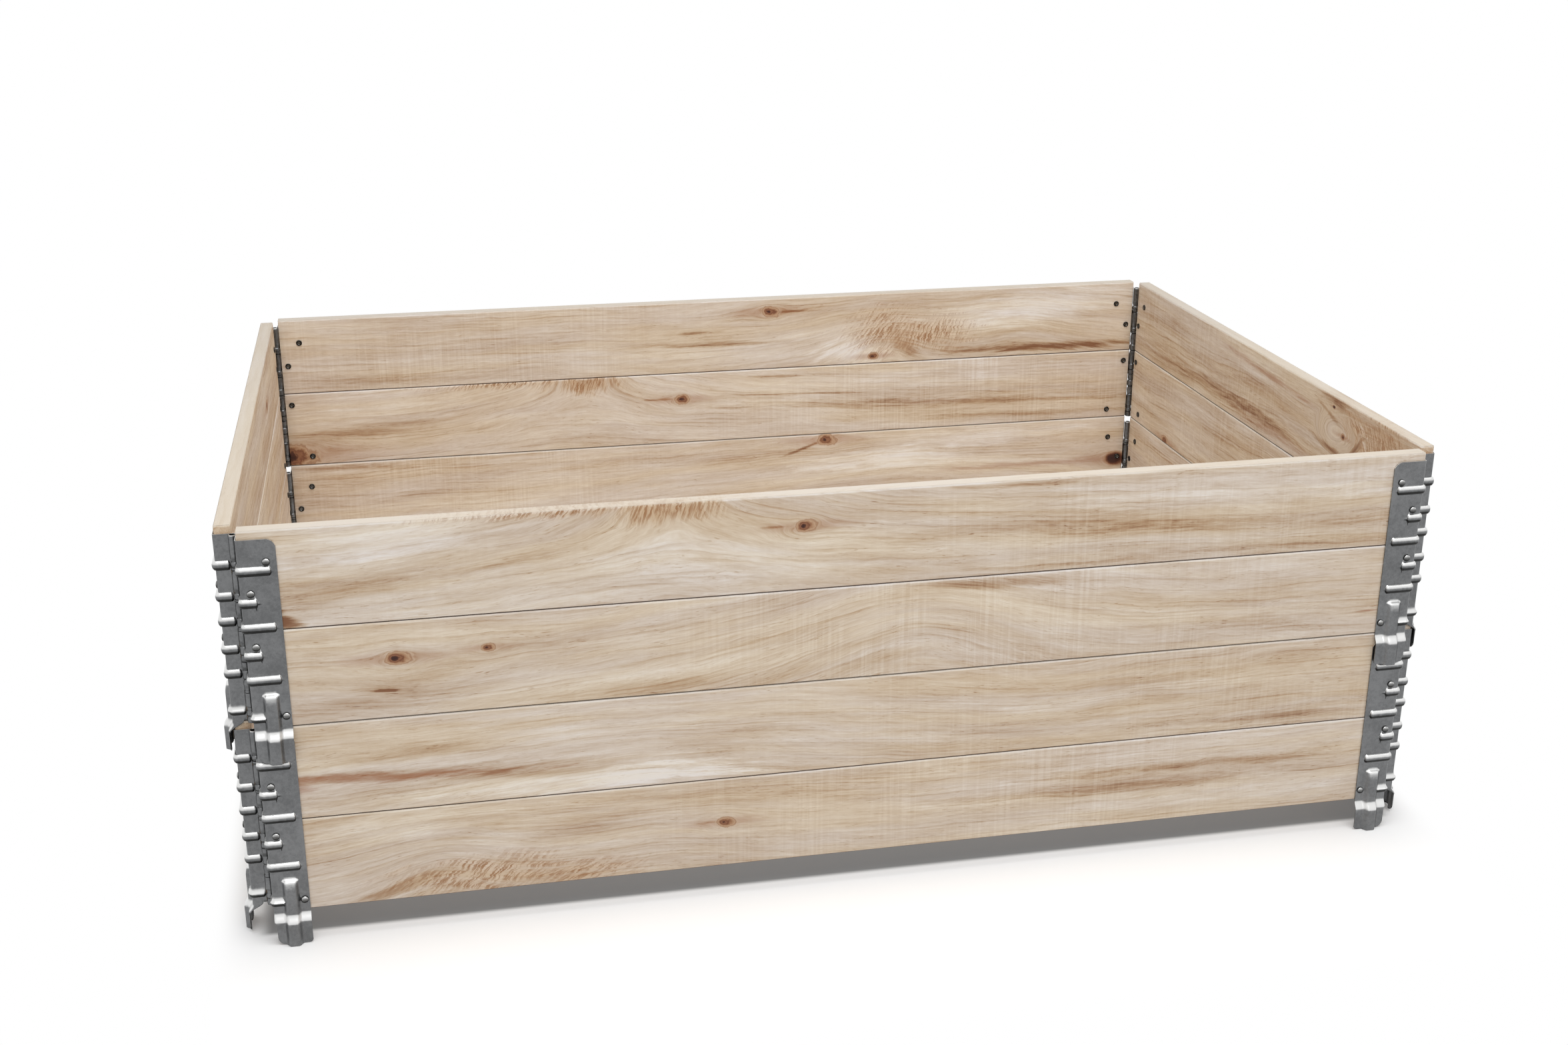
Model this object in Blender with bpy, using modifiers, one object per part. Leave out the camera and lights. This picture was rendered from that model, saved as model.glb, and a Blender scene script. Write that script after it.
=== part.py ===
# Two stacked wooden pallet collars. Each collar is four walls of two boards, joined at its
# corners by pressed steel hinges whose tongues hang over the collar or pallet below.
import math

import bmesh
import bpy
from mathutils import Matrix, Vector

# Boards, in metres
LENGTH = 1.2                  # over the outer faces of the short walls
WIDTH = 0.8                   # over the outer faces of the long walls
BOARD_HEIGHT = 0.0975         # pitch of the boards, with the gap to the next one
BOARD_THICKNESS = 0.015
BOARD_EDGE_RADIUS = 0.0012
BOARD_EDGE_STEPS = 2
CLEARANCE = 0.0003            # between pieces that lie against each other

# Hinge leaf: sheet, outer flange, barrel
SHEET = 0.0012
HINGE_INSET = 0.0016          # hinge axis beyond the boards' inner faces
BARREL_RADIUS = 0.004
KNUCKLES = 6
KNUCKLE_GAP = 0.0004
CURL_ANGLE = math.radians(290)
CURL_STEPS = 6
FOLD_STEPS = 1
FLANGE_WIDTH = 0.0335         # along the board, from its end
LEAF_TOP_MARGIN = 0.0084      # top edge of the leaf below the top of the collar
LEAF_TOP_RADIUS = 0.009
CORNER_STEPS = 2
END_FLANGE_BOTTOM = 0.0008    # lower edge of the flange over the end grain

# Tongue and the channel pressed down the leaf's lower part
TONGUE_DROP = 0.0335          # tip of the tongue below the collar
TONGUE_NEAR_RADIUS = 0.0085   # lower corner by the hinge
TONGUE_FAR_RADIUS = 0.004
STEP_TOP = -0.001             # the joggle that carries the tongue outwards
STEP_BOTTOM = -0.0105
STEP_OUT = 0.0045
GUSSET_WIDTH = 0.009
CHANNEL_FOOT = (0.0085, 0.0245)    # both sides of its foot, from the board's end
CHANNEL_SIDE = 0.003               # width of each sloping side
CHANNEL_DEPTH = 0.005
CHANNEL_TOP = 0.035
CHANNEL_LIP = 0.004

# Stiffening ribs across the fold. Each is (board, height on it, reach along the board), and a
# height below zero is counted down from the board's upper edge.
RIB_HALF_HEIGHT = 0.0048
RIB_CREST_HALF_HEIGHT = 0.0022
RIB_DEPTH = 0.003             # on the outer flange
RIB_END_SLOPE = 0.0012
RIB_CREST_ROOM = 0.0004       # left between crests and the plane where two leaves meet
LONG_RIB = 0.028
SHORT_RIB = 0.0135
CHANNEL_RIB = 0.0115          # the lowest rib runs into the channel
CHANNEL_RIB_TOP_SLOPE = 0.009
RIBS = (
    (1, -0.0387, LONG_RIB),
    (1, 0.0280, SHORT_RIB),
    (1, 0.0035, LONG_RIB),
    (0, -0.0244, SHORT_RIB),
    (0, -0.0487, LONG_RIB),
    (0, 0.0112, CHANNEL_RIB),
)

# Rivets through leaf and board. Each is (board, height on it, distance from the board's end),
# with heights as for the ribs.
RIVET_SIDES = 8               # of the head and tail
SHANK_SIDES = 6
RIVET_HEAD_RADIUS = 0.0036
RIVET_HEAD_HEIGHT = 0.0024
RIVET_HEAD_FLAT = 0.0015      # radius of the dome's flattened top
RIVET_SHANK_RADIUS = 0.0024
RIVET_TAIL_RADIUS = 0.0037
RIVET_TAIL_HEIGHT = 0.001
RIVET_TAIL_CHAMFER = 0.0004
RIVETS = (
    (1, -0.0302, 0.0240),
    (1, 0.0371, 0.0080),
    (0, -0.0153, 0.0080),
    (0, 0.0115, 0.0286),
)

# Hinge pin
PIN_SIDES = 8
PIN_RECESS = 0.0025           # below the barrel's top
PIN_BOTTOM_RECESS = 0.0005
PIN_CHAMFER = 0.0005

MERGE = 1e-6
SHARP_ANGLE = math.radians(35)
BOARD_NAMES = ("bottom", "top")
COLLAR_NAMES = ("lower", "upper")

# What follows from them. Distances "along" run from the hinge axis down the board's length,
# distances "out" run from the hinge axis through the board's thickness to the outside.
COLLAR_HEIGHT = BOARD_HEIGHT * len(BOARD_NAMES)
OUTER_FACE = HINGE_INSET + BOARD_THICKNESS
BOARD_END = BARREL_RADIUS + CLEARANCE
BORE_RADIUS = BARREL_RADIUS - SHEET
END_RIB_DEPTH = BORE_RADIUS - RIB_CREST_ROOM
RIB_END = OUTER_FACE - (BARREL_RADIUS + CLEARANCE)
CUT_BACK = OUTER_FACE - math.sqrt((BARREL_RADIUS + CLEARANCE) ** 2 - BORE_RADIUS**2)
LEAF_TOP = COLLAR_HEIGHT - LEAF_TOP_MARGIN
PIN_RADIUS = BORE_RADIUS * math.cos(CURL_ANGLE / CURL_STEPS / 2) - CLEARANCE
HINGE_X = LENGTH / 2 - OUTER_FACE
HINGE_Y = WIDTH / 2 - OUTER_FACE

MATERIALS = {
    "wood": {"Base Color": (0.64, 0.47, 0.32, 1), "Roughness": 0.65, "Metallic": 0.0},
    "steel": {"Base Color": (0.32, 0.33, 0.33, 1), "Roughness": 0.45, "Metallic": 1.0},
    "pin": {"Base Color": (0.45, 0.45, 0.46, 1), "Roughness": 0.35, "Metallic": 1.0},
}


def clear_scene():
    for thing in list(bpy.data.objects):
        bpy.data.objects.remove(thing, do_unlink=True)


def make_collection(name):
    made = bpy.data.collections.new(name)
    bpy.context.scene.collection.children.link(made)
    return made


def make_materials():
    made = {}
    for name, values in MATERIALS.items():
        material = bpy.data.materials.new(name)
        material.use_nodes = True
        shader = material.node_tree.nodes["Principled BSDF"]
        for socket, value in values.items():
            shader.inputs[socket].default_value = value
        made[name] = material
    return made


def applied(mesh, set_up):
    # The mesh as modifiers leave it. set_up adds them to a passing object that holds the mesh.
    holder = bpy.data.objects.new("holder", mesh)
    bpy.context.scene.collection.objects.link(holder)
    helpers = set_up(holder) or []
    bpy.context.view_layer.update()
    graph = bpy.context.evaluated_depsgraph_get()
    result = bpy.data.meshes.new_from_object(holder.evaluated_get(graph))
    for thing in [holder, *helpers]:
        bpy.data.objects.remove(thing, do_unlink=True)
    return result


def combined(mesh, other, operation):
    def set_up(holder):
        tool = bpy.data.objects.new("tool", other)
        bpy.context.scene.collection.objects.link(tool)
        boolean = holder.modifiers.new("boolean", "BOOLEAN")
        boolean.operation = operation
        boolean.solver = "EXACT"
        boolean.object = tool
        return [tool]

    return applied(mesh, set_up)


def turned(profile, sides):
    # A profile of (radius, height) points, top to bottom, turned about the Z axis
    mesh = bpy.data.meshes.new("profile")
    points = [(radius, 0, height) for radius, height in profile]
    mesh.from_pydata(points, [(i, i + 1) for i in range(len(points) - 1)], [])

    def set_up(holder):
        screw = holder.modifiers.new("turn", "SCREW")
        screw.steps = screw.render_steps = sides
        screw.use_merge_vertices = True
        screw.merge_threshold = MERGE

    return applied(mesh, set_up)


def moved_copies(mesh, placements):
    # One mesh that holds a copy of the given one at each placement
    bm = bmesh.new()
    for placement in placements:
        start = len(bm.verts)
        bm.from_mesh(mesh)
        bm.verts.ensure_lookup_table()
        bmesh.ops.transform(bm, matrix=placement, verts=bm.verts[start:])
    result = bpy.data.meshes.new(mesh.name)
    bm.to_mesh(result)
    bm.free()
    return result


def ramp(value, start, end):
    # 0 up to start, 1 from end on, straight between
    return min(max((value - start) / (end - start), 0.0), 1.0)


def on_board(height):
    return height if height >= 0 else BOARD_HEIGHT + height


def feature_height(board, height):
    return board * BOARD_HEIGHT + on_board(height)


def corner_distances(radius):
    turns = [math.pi / 2 * k / CORNER_STEPS for k in range(CORNER_STEPS + 1)]
    return [radius * (1 - math.cos(turn)) for turn in turns]


def corner_rise(distance, radius):
    # How much a rounded corner takes off the edge at this distance from the side
    short_of_arc = max(radius - distance, 0.0)
    return radius - math.sqrt(radius**2 - short_of_arc**2)


def own_knuckles(first):
    # The barrel spans (low, high) of one leaf, counted from the top
    pitch = LEAF_TOP / KNUCKLES
    spans = []
    for k in range(first, KNUCKLES, 2):
        high = LEAF_TOP - k * pitch
        spans.append((high - pitch + KNUCKLE_GAP / 2, high - (KNUCKLE_GAP / 2 if k else 0)))
    return spans


def leaf_columns():
    # Lines up the sheet, in order from the flange's far edge round the fold and into the barrel
    along = {0.0, FLANGE_WIDTH}
    for reach in (LONG_RIB, SHORT_RIB):
        along |= {reach, reach - RIB_END_SLOPE}
    near_foot, far_foot = CHANNEL_FOOT
    along |= {near_foot, near_foot + CHANNEL_SIDE, far_foot - CHANNEL_SIDE, far_foot}
    along |= set(corner_distances(TONGUE_NEAR_RADIUS))
    for radius in (TONGUE_FAR_RADIUS, LEAF_TOP_RADIUS):
        along |= {FLANGE_WIDTH - distance for distance in corner_distances(radius)}
    columns = [("face", distance) for distance in sorted(along, reverse=True)]
    columns += [("fold", math.pi / 2 * k / FOLD_STEPS) for k in range(1, FOLD_STEPS)]
    inward = {0.0, GUSSET_WIDTH, RIB_END - RIB_END_SLOPE / 2, RIB_END, CUT_BACK, OUTER_FACE}
    columns += [("end", distance) for distance in sorted(inward)]
    columns += [("curl", CURL_ANGLE * k / CURL_STEPS) for k in range(1, CURL_STEPS + 1)]
    return columns


def rib_rows(height, reach):
    # (foot, crest, crest, foot) from the bottom up
    top = CHANNEL_RIB_TOP_SLOPE if reach == CHANNEL_RIB else RIB_HALF_HEIGHT
    return (
        height - RIB_HALF_HEIGHT,
        height - RIB_CREST_HALF_HEIGHT,
        height + RIB_CREST_HALF_HEIGHT,
        height + top,
    )


def leaf_rows(knuckles):
    rows = {-TONGUE_DROP, STEP_BOTTOM, STEP_TOP, END_FLANGE_BOTTOM, LEAF_TOP}
    rows |= {CHANNEL_TOP, CHANNEL_TOP - CHANNEL_LIP}
    for board, height, reach in RIBS:
        rows |= set(rib_rows(feature_height(board, height), reach))
    for low, high in knuckles:
        rows |= {low, high}
    return sorted(rows)


def rib_depth(column, height):
    zone, value = column
    depth = 0.0
    for board, rib_height, reach in RIBS:
        foot, crest, top_crest, top_foot = rib_rows(feature_height(board, rib_height), reach)
        share = min(ramp(height, foot, crest), ramp(height, top_foot, top_crest))
        if zone == "face":
            share = min(share, ramp(value, reach, reach - RIB_END_SLOPE))
            full = RIB_DEPTH
        elif zone == "fold":
            full = RIB_DEPTH + (END_RIB_DEPTH - RIB_DEPTH) * value / (math.pi / 2)
        else:
            share = min(share, ramp(value, RIB_END, RIB_END - RIB_END_SLOPE / 2))
            full = END_RIB_DEPTH
        depth = max(depth, share * full)
    return depth


def channel_depth(column, height):
    zone, value = column
    if zone != "face":
        return 0.0
    near_foot, far_foot = CHANNEL_FOOT
    near = ramp(value, near_foot, near_foot + CHANNEL_SIDE)
    far = ramp(value, far_foot, far_foot - CHANNEL_SIDE)
    return CHANNEL_DEPTH * min(near, far, ramp(height, CHANNEL_TOP, CHANNEL_TOP - CHANNEL_LIP))


def leaf_point(column, row, outer):
    # Where a line up the sheet crosses a height, on the sheet's outer or inner side
    zone, value = column
    height = row
    if zone == "face":
        height = min(height, LEAF_TOP - corner_rise(FLANGE_WIDTH - value, LEAF_TOP_RADIUS))
        near = corner_rise(value, TONGUE_NEAR_RADIUS)
        far = corner_rise(FLANGE_WIDTH - value, TONGUE_FAR_RADIUS)
        height = max(height, max(near, far) - TONGUE_DROP)
    depth = channel_depth(column, height)
    if outer:
        depth = max(depth, rib_depth(column, height)) + SHEET
    joggle = STEP_OUT * ramp(height, STEP_TOP, STEP_BOTTOM)
    if zone == "face":
        along, out = BOARD_END + value, OUTER_FACE + CLEARANCE + depth
    elif zone == "fold":
        along = BOARD_END - (CLEARANCE + depth) * math.sin(value)
        out = OUTER_FACE + (CLEARANCE + depth) * math.cos(value)
    elif zone == "end":
        gusset = GUSSET_WIDTH * ramp(height, STEP_BOTTOM, END_FLANGE_BOTTOM)
        if value <= GUSSET_WIDTH:
            value = min(value, gusset)
        along, out = BOARD_END - CLEARANCE - depth, OUTER_FACE - value
    else:
        radius = BORE_RADIUS if outer else BARREL_RADIUS
        along, out = radius * math.cos(value), -radius * math.sin(value)
    return Vector((along, -(out + joggle), height))


def cell_is_sheet(before, after, height, knuckles):
    # Whether the sheet covers the cell between two neighbouring columns at this height
    zone = before[0] if before[0] == "fold" else after[0]
    if zone == "face":
        return True
    if zone == "fold" or (zone == "end" and after[1] <= GUSSET_WIDTH):
        return height > STEP_BOTTOM
    if zone == "end" and after[1] <= CUT_BACK:
        return height > END_FLANGE_BOTTOM
    return any(low < height < high for low, high in knuckles)


def bevel_rib_corners(bm):
    # Splits each twisted cell across the corner that stands out of its plane, or drops below it
    for face in [face for face in bm.faces if len(face.verts) == 4]:
        lifts = []
        for k in range(4):
            corner, others = face.verts[k], [face.verts[(k + step) % 4].co for step in (1, 2, 3)]
            normal = (others[1] - others[0]).cross(others[2] - others[0])
            if normal.length > MERGE**2:
                lifts.append((abs(normal.normalized().dot(corner.co - others[0])), k))
        if lifts and max(lifts)[0] > MERGE:
            k = max(lifts)[1]
            bmesh.utils.face_split(face, face.verts[(k + 1) % 4], face.verts[(k + 3) % 4])


def sheet_mesh(first):
    columns = leaf_columns()
    knuckles = own_knuckles(first)
    rows = leaf_rows(knuckles)
    bm = bmesh.new()
    across, up = len(columns) - 1, len(rows) - 1
    bmesh.ops.create_grid(bm, x_segments=across, y_segments=up, size=0.5)

    def cell(point):
        return (point.x + 0.5) * across, (point.y + 0.5) * up

    bare = []
    for face in bm.faces:
        i, j = (math.floor(k) for k in cell(face.calc_center_median()))
        height = (rows[j] + rows[j + 1]) / 2
        if not cell_is_sheet(columns[i], columns[i + 1], height, knuckles):
            bare.append(face)
    bmesh.ops.delete(bm, geom=bare, context="FACES")
    made = bmesh.ops.extrude_face_region(bm, geom=bm.faces[:])
    outer_side = {thing for thing in made["geom"] if isinstance(thing, bmesh.types.BMVert)}
    for vertex in bm.verts:
        i, j = (round(k) for k in cell(vertex.co))
        vertex.co = leaf_point(columns[i], rows[j], vertex in outer_side)
    bmesh.ops.remove_doubles(bm, verts=bm.verts, dist=MERGE)
    bevel_rib_corners(bm)
    bmesh.ops.recalc_face_normals(bm, faces=bm.faces)
    if bm.calc_volume(signed=True) < 0:
        bmesh.ops.reverse_faces(bm, faces=bm.faces)
    mesh = bpy.data.meshes.new("sheet")
    bm.to_mesh(mesh)
    bm.free()
    return mesh


def rivet_mesh():
    # Turned about Z with the leaf's outer side at height 0: dome, shank through the board, tail
    under_tail = -(SHEET + CLEARANCE + BOARD_THICKNESS + CLEARANCE)
    tail_end = under_tail - RIVET_TAIL_HEIGHT
    head_seat = -SHEET / 2
    head = [
        (0, RIVET_HEAD_HEIGHT),
        (RIVET_HEAD_FLAT, RIVET_HEAD_HEIGHT),
        (RIVET_HEAD_RADIUS, 0),
        (RIVET_HEAD_RADIUS, head_seat),
        (0, head_seat),
    ]
    shank_top, shank_end = head_seat / 2, tail_end + RIVET_TAIL_HEIGHT / 2
    shank = [
        (0, shank_top),
        (RIVET_SHANK_RADIUS, shank_top),
        (RIVET_SHANK_RADIUS, shank_end),
        (0, shank_end),
    ]
    tail = [
        (0, under_tail),
        (RIVET_TAIL_RADIUS, under_tail),
        (RIVET_TAIL_RADIUS - RIVET_TAIL_CHAMFER, tail_end),
        (0, tail_end),
    ]
    mesh = combined(turned(head, RIVET_SIDES), turned(shank, SHANK_SIDES), "UNION")
    return combined(mesh, turned(tail, RIVET_SIDES), "UNION")


def leaf_mesh(first, hand):
    # hand 1 has its outside towards -Y and its board towards +X, hand -1 is its mirror image
    outer_side = OUTER_FACE + CLEARANCE + SHEET
    turn = Matrix.Rotation(math.pi / 2, 4, "X")
    places = [
        Matrix.Translation((BOARD_END + from_end, -outer_side, feature_height(board, height))) @ turn
        for board, height, from_end in RIVETS
    ]
    mesh = combined(sheet_mesh(first), moved_copies(rivet_mesh(), places), "UNION")
    if hand < 0:
        mesh.transform(Matrix.Diagonal((1, -1, 1, 1)))
        mesh.flip_normals()
    return mesh


def board_mesh(length, board):
    # Lies along X, centred, with its lower edge at height 0
    height = BOARD_HEIGHT - CLEARANCE
    bm = bmesh.new()
    bmesh.ops.create_cube(bm, size=1)
    bmesh.ops.scale(bm, vec=(length, BOARD_THICKNESS, height), verts=bm.verts)
    bmesh.ops.translate(bm, vec=(0, 0, height / 2), verts=bm.verts)
    bmesh.ops.bevel(
        bm,
        geom=[edge for edge in bm.edges if edge.verts[0].co.x * edge.verts[1].co.x < 0],
        offset=BOARD_EDGE_RADIUS,
        segments=BOARD_EDGE_STEPS,
        profile=0.5,
        affect="EDGES",
    )
    mesh = bpy.data.meshes.new("board")
    bm.to_mesh(mesh)
    bm.free()
    hole_radius = RIVET_SHANK_RADIUS + CLEARANCE / math.cos(math.pi / SHANK_SIDES)
    reach = BOARD_THICKNESS
    drill = turned([(0, reach), (hole_radius, reach), (hole_radius, -reach), (0, -reach)], SHANK_SIDES)
    turn = Matrix.Rotation(math.pi / 2, 4, "X")
    places = []
    for riveted, height, from_end in RIVETS:
        if riveted == board:
            for side in (-1, 1):
                centre = Vector((side * (length / 2 - from_end), 0, on_board(height)))
                places.append(Matrix.Translation(centre) @ turn)
    return combined(mesh, moved_copies(drill, places), "DIFFERENCE")


def pin_mesh():
    top, bottom = LEAF_TOP - PIN_RECESS, PIN_BOTTOM_RECESS
    return turned(
        [
            (0, top),
            (PIN_RADIUS - PIN_CHAMFER, top),
            (PIN_RADIUS, top - PIN_CHAMFER),
            (PIN_RADIUS, bottom + PIN_CHAMFER),
            (PIN_RADIUS - PIN_CHAMFER, bottom),
            (0, bottom),
        ],
        PIN_SIDES,
    )


class Builder:
    def __init__(self, parts, materials):
        self.parts = parts
        self.materials = materials
        self.leaves = {(first, hand): leaf_mesh(first, hand) for first in (0, 1) for hand in (1, -1)}
        lengths = {
            "front": LENGTH - 2 * (OUTER_FACE + BOARD_END),
            "left": WIDTH - 2 * (OUTER_FACE + BOARD_END),
        }
        lengths["back"], lengths["right"] = lengths["front"], lengths["left"]
        self.boards = {
            (wall, board): board_mesh(length, board)
            for wall, length in lengths.items()
            for board in range(len(BOARD_NAMES))
        }
        self.pin = pin_mesh()

    def place(self, name, mesh, material, parent, location, angle=0.0):
        mesh.materials.clear()
        mesh.materials.append(self.materials[material])
        mesh.shade_smooth()
        mesh.set_sharp_from_angle(angle=SHARP_ANGLE)
        made = bpy.data.objects.new(name, mesh)
        self.parts.objects.link(made)
        made.parent = parent
        made.matrix_parent_inverse = parent.matrix_world.inverted()
        made.location = location
        made.rotation_euler = (0, 0, angle)
        return made

    def axis(self, name, location, parent=None):
        # An empty on a wall's hinge axis, which the wall's pieces hang on
        made = bpy.data.objects.new(name, None)
        made.empty_display_size = BOARD_HEIGHT
        self.parts.objects.link(made)
        if parent:
            made.parent = parent
            made.matrix_parent_inverse = parent.matrix_world.inverted()
        made.location = location
        bpy.context.view_layer.update()
        return made

    def wall(self, collar, wall, base, axis):
        # Boards, and the two leaves on them. The short walls own the top knuckle, and every
        # second one from there down, and the long walls own the others and the pins.
        side = -1 if wall in ("front", "left") else 1
        across = wall in ("front", "back")
        angle = 0.0 if across else math.pi / 2
        for k, board in enumerate(BOARD_NAMES):
            offset = side * ((WIDTH if across else LENGTH) / 2 - BOARD_THICKNESS / 2)
            spot = Vector((0, offset, base) if across else (offset, 0, base))
            spot.z += k * BOARD_HEIGHT
            self.place(f"{collar}_{wall}_{board}_board", self.boards[wall, k], "wood", axis, spot, angle)
        for end in (-1, 1):
            x, y = (end, side) if across else (side, end)
            hand = x * y if across else -x * y
            if across:
                angle, end_name = (0.0 if end < 0 else math.pi), ("left" if end < 0 else "right")
            else:
                angle, end_name = -end * math.pi / 2, ("front" if end < 0 else "back")
            mesh = self.leaves[1 if across else 0, hand]
            spot = (x * HINGE_X, y * HINGE_Y, base)
            self.place(f"{collar}_{wall}_wall_{end_name}_leaf", mesh, "steel", axis, spot, angle)
            if across:
                self.place(f"{collar}_{wall}_{end_name}_pin", self.pin, "pin", axis, spot)

    def collar(self, collar, base, under):
        front = self.axis(f"{collar}_front_wall", (0, -HINGE_Y, base), under)
        left = self.axis(f"{collar}_left_wall", (-HINGE_X, -HINGE_Y, base), front)
        right = self.axis(f"{collar}_right_wall", (HINGE_X, -HINGE_Y, base), front)
        back = self.axis(f"{collar}_back_wall", (-HINGE_X, HINGE_Y, base), left)
        for wall, axis in (("front", front), ("left", left), ("right", right), ("back", back)):
            self.wall(collar, wall, base, axis)
        return front


def main():
    clear_scene()
    builder = Builder(make_collection("pallet_collars"), make_materials())
    under = None
    for level, collar in enumerate(COLLAR_NAMES):
        under = builder.collar(collar, TONGUE_DROP + level * COLLAR_HEIGHT, under)


main()
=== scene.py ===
import math

import bmesh
import bpy
from mathutils import Matrix, Vector, noise


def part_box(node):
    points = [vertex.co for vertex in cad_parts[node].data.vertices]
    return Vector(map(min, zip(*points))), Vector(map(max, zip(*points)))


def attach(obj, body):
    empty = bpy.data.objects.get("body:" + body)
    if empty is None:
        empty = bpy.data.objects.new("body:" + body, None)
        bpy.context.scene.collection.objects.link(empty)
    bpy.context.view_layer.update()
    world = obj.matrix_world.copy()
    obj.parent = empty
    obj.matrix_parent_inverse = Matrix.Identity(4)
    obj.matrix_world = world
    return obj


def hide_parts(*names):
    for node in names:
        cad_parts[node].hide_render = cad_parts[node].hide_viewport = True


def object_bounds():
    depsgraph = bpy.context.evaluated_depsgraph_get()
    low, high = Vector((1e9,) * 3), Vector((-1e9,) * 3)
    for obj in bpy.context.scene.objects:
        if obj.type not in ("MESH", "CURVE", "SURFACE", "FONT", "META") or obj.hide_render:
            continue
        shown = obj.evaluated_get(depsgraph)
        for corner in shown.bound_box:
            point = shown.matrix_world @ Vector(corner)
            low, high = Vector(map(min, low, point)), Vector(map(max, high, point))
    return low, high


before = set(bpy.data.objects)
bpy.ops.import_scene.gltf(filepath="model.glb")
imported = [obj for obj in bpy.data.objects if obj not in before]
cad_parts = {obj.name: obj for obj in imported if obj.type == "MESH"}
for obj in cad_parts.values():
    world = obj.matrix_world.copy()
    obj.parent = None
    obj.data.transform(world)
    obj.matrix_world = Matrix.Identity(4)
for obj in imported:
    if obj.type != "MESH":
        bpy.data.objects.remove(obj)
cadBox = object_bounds()
scene = bpy.context.scene

collars = ("lower", "upper")
boardRows = ("bottom", "top")
wallEnds = {
    "front": ("left", "right"),
    "back": ("left", "right"),
    "left": ("front", "back"),
    "right": ("front", "back"),
}


# Helpers for modelling
def deselectAll():
    bpy.ops.object.select_all(action="DESELECT")


def pickUp(thing):
    deselectAll()
    thing.select_set(True)
    bpy.context.view_layer.objects.active = thing


def edit(thing, work):
    pickUp(thing)
    bpy.ops.object.mode_set(mode="EDIT")
    work()
    bpy.ops.object.mode_set(mode="OBJECT")


def selectWhere(kind, test):
    # In edit mode: picks the faces or edges that pass the test
    bpy.ops.mesh.select_all(action="DESELECT")
    bpy.ops.mesh.select_mode(type=kind)
    mesh = bmesh.from_edit_mesh(bpy.context.object.data)
    for thing in mesh.faces if kind == "FACE" else mesh.edges:
        thing.select_set(test(thing))
    mesh.select_flush_mode()
    bmesh.update_edit_mesh(bpy.context.object.data)


def applyModifiers(thing):
    pickUp(thing)
    for modifier in list(thing.modifiers):
        bpy.ops.object.modifier_apply(modifier=modifier.name)


def smooth(thing, degrees):
    pickUp(thing)
    bpy.ops.object.shade_smooth_by_angle(angle=math.radians(degrees))


def settle(thing, name):
    # The place goes into the mesh, so the object sits at the origin
    thing.name = thing.data.name = name
    thing.data.transform(thing.matrix_world)
    thing.matrix_world = Matrix.Identity(4)
    return thing


def copyTo(thing, name, matrix):
    # A copy with its own mesh, turned right side out again if it is mirrored
    copy = thing.copy()
    copy.data = thing.data.copy()
    scene.collection.objects.link(copy)
    copy.data.transform(matrix)
    if matrix.determinant() < 0:
        copy.data.flip_normals()
    copy.name = copy.data.name = name
    return copy


def remove(thing):
    bpy.data.objects.remove(thing, do_unlink=True)


# Helpers for materials
class Wire:
    # A socket that can be added up in Python
    def __init__(self, graph, socket):
        self.graph = graph
        self.socket = socket

    def maths(self, operation, *values):
        return self.graph.add("ShaderNodeMath", {"operation": operation}, values)

    def __add__(self, other):
        return self.maths("ADD", self, other)

    def __sub__(self, other):
        return self.maths("SUBTRACT", self, other)

    def __rsub__(self, other):
        return self.maths("SUBTRACT", other, self)

    def __mul__(self, other):
        return self.maths("MULTIPLY", self, other)

    def __truediv__(self, other):
        return self.maths("DIVIDE", self, other)

    def __rtruediv__(self, other):
        return self.maths("DIVIDE", other, self)

    __radd__ = __add__
    __rmul__ = __mul__


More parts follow.
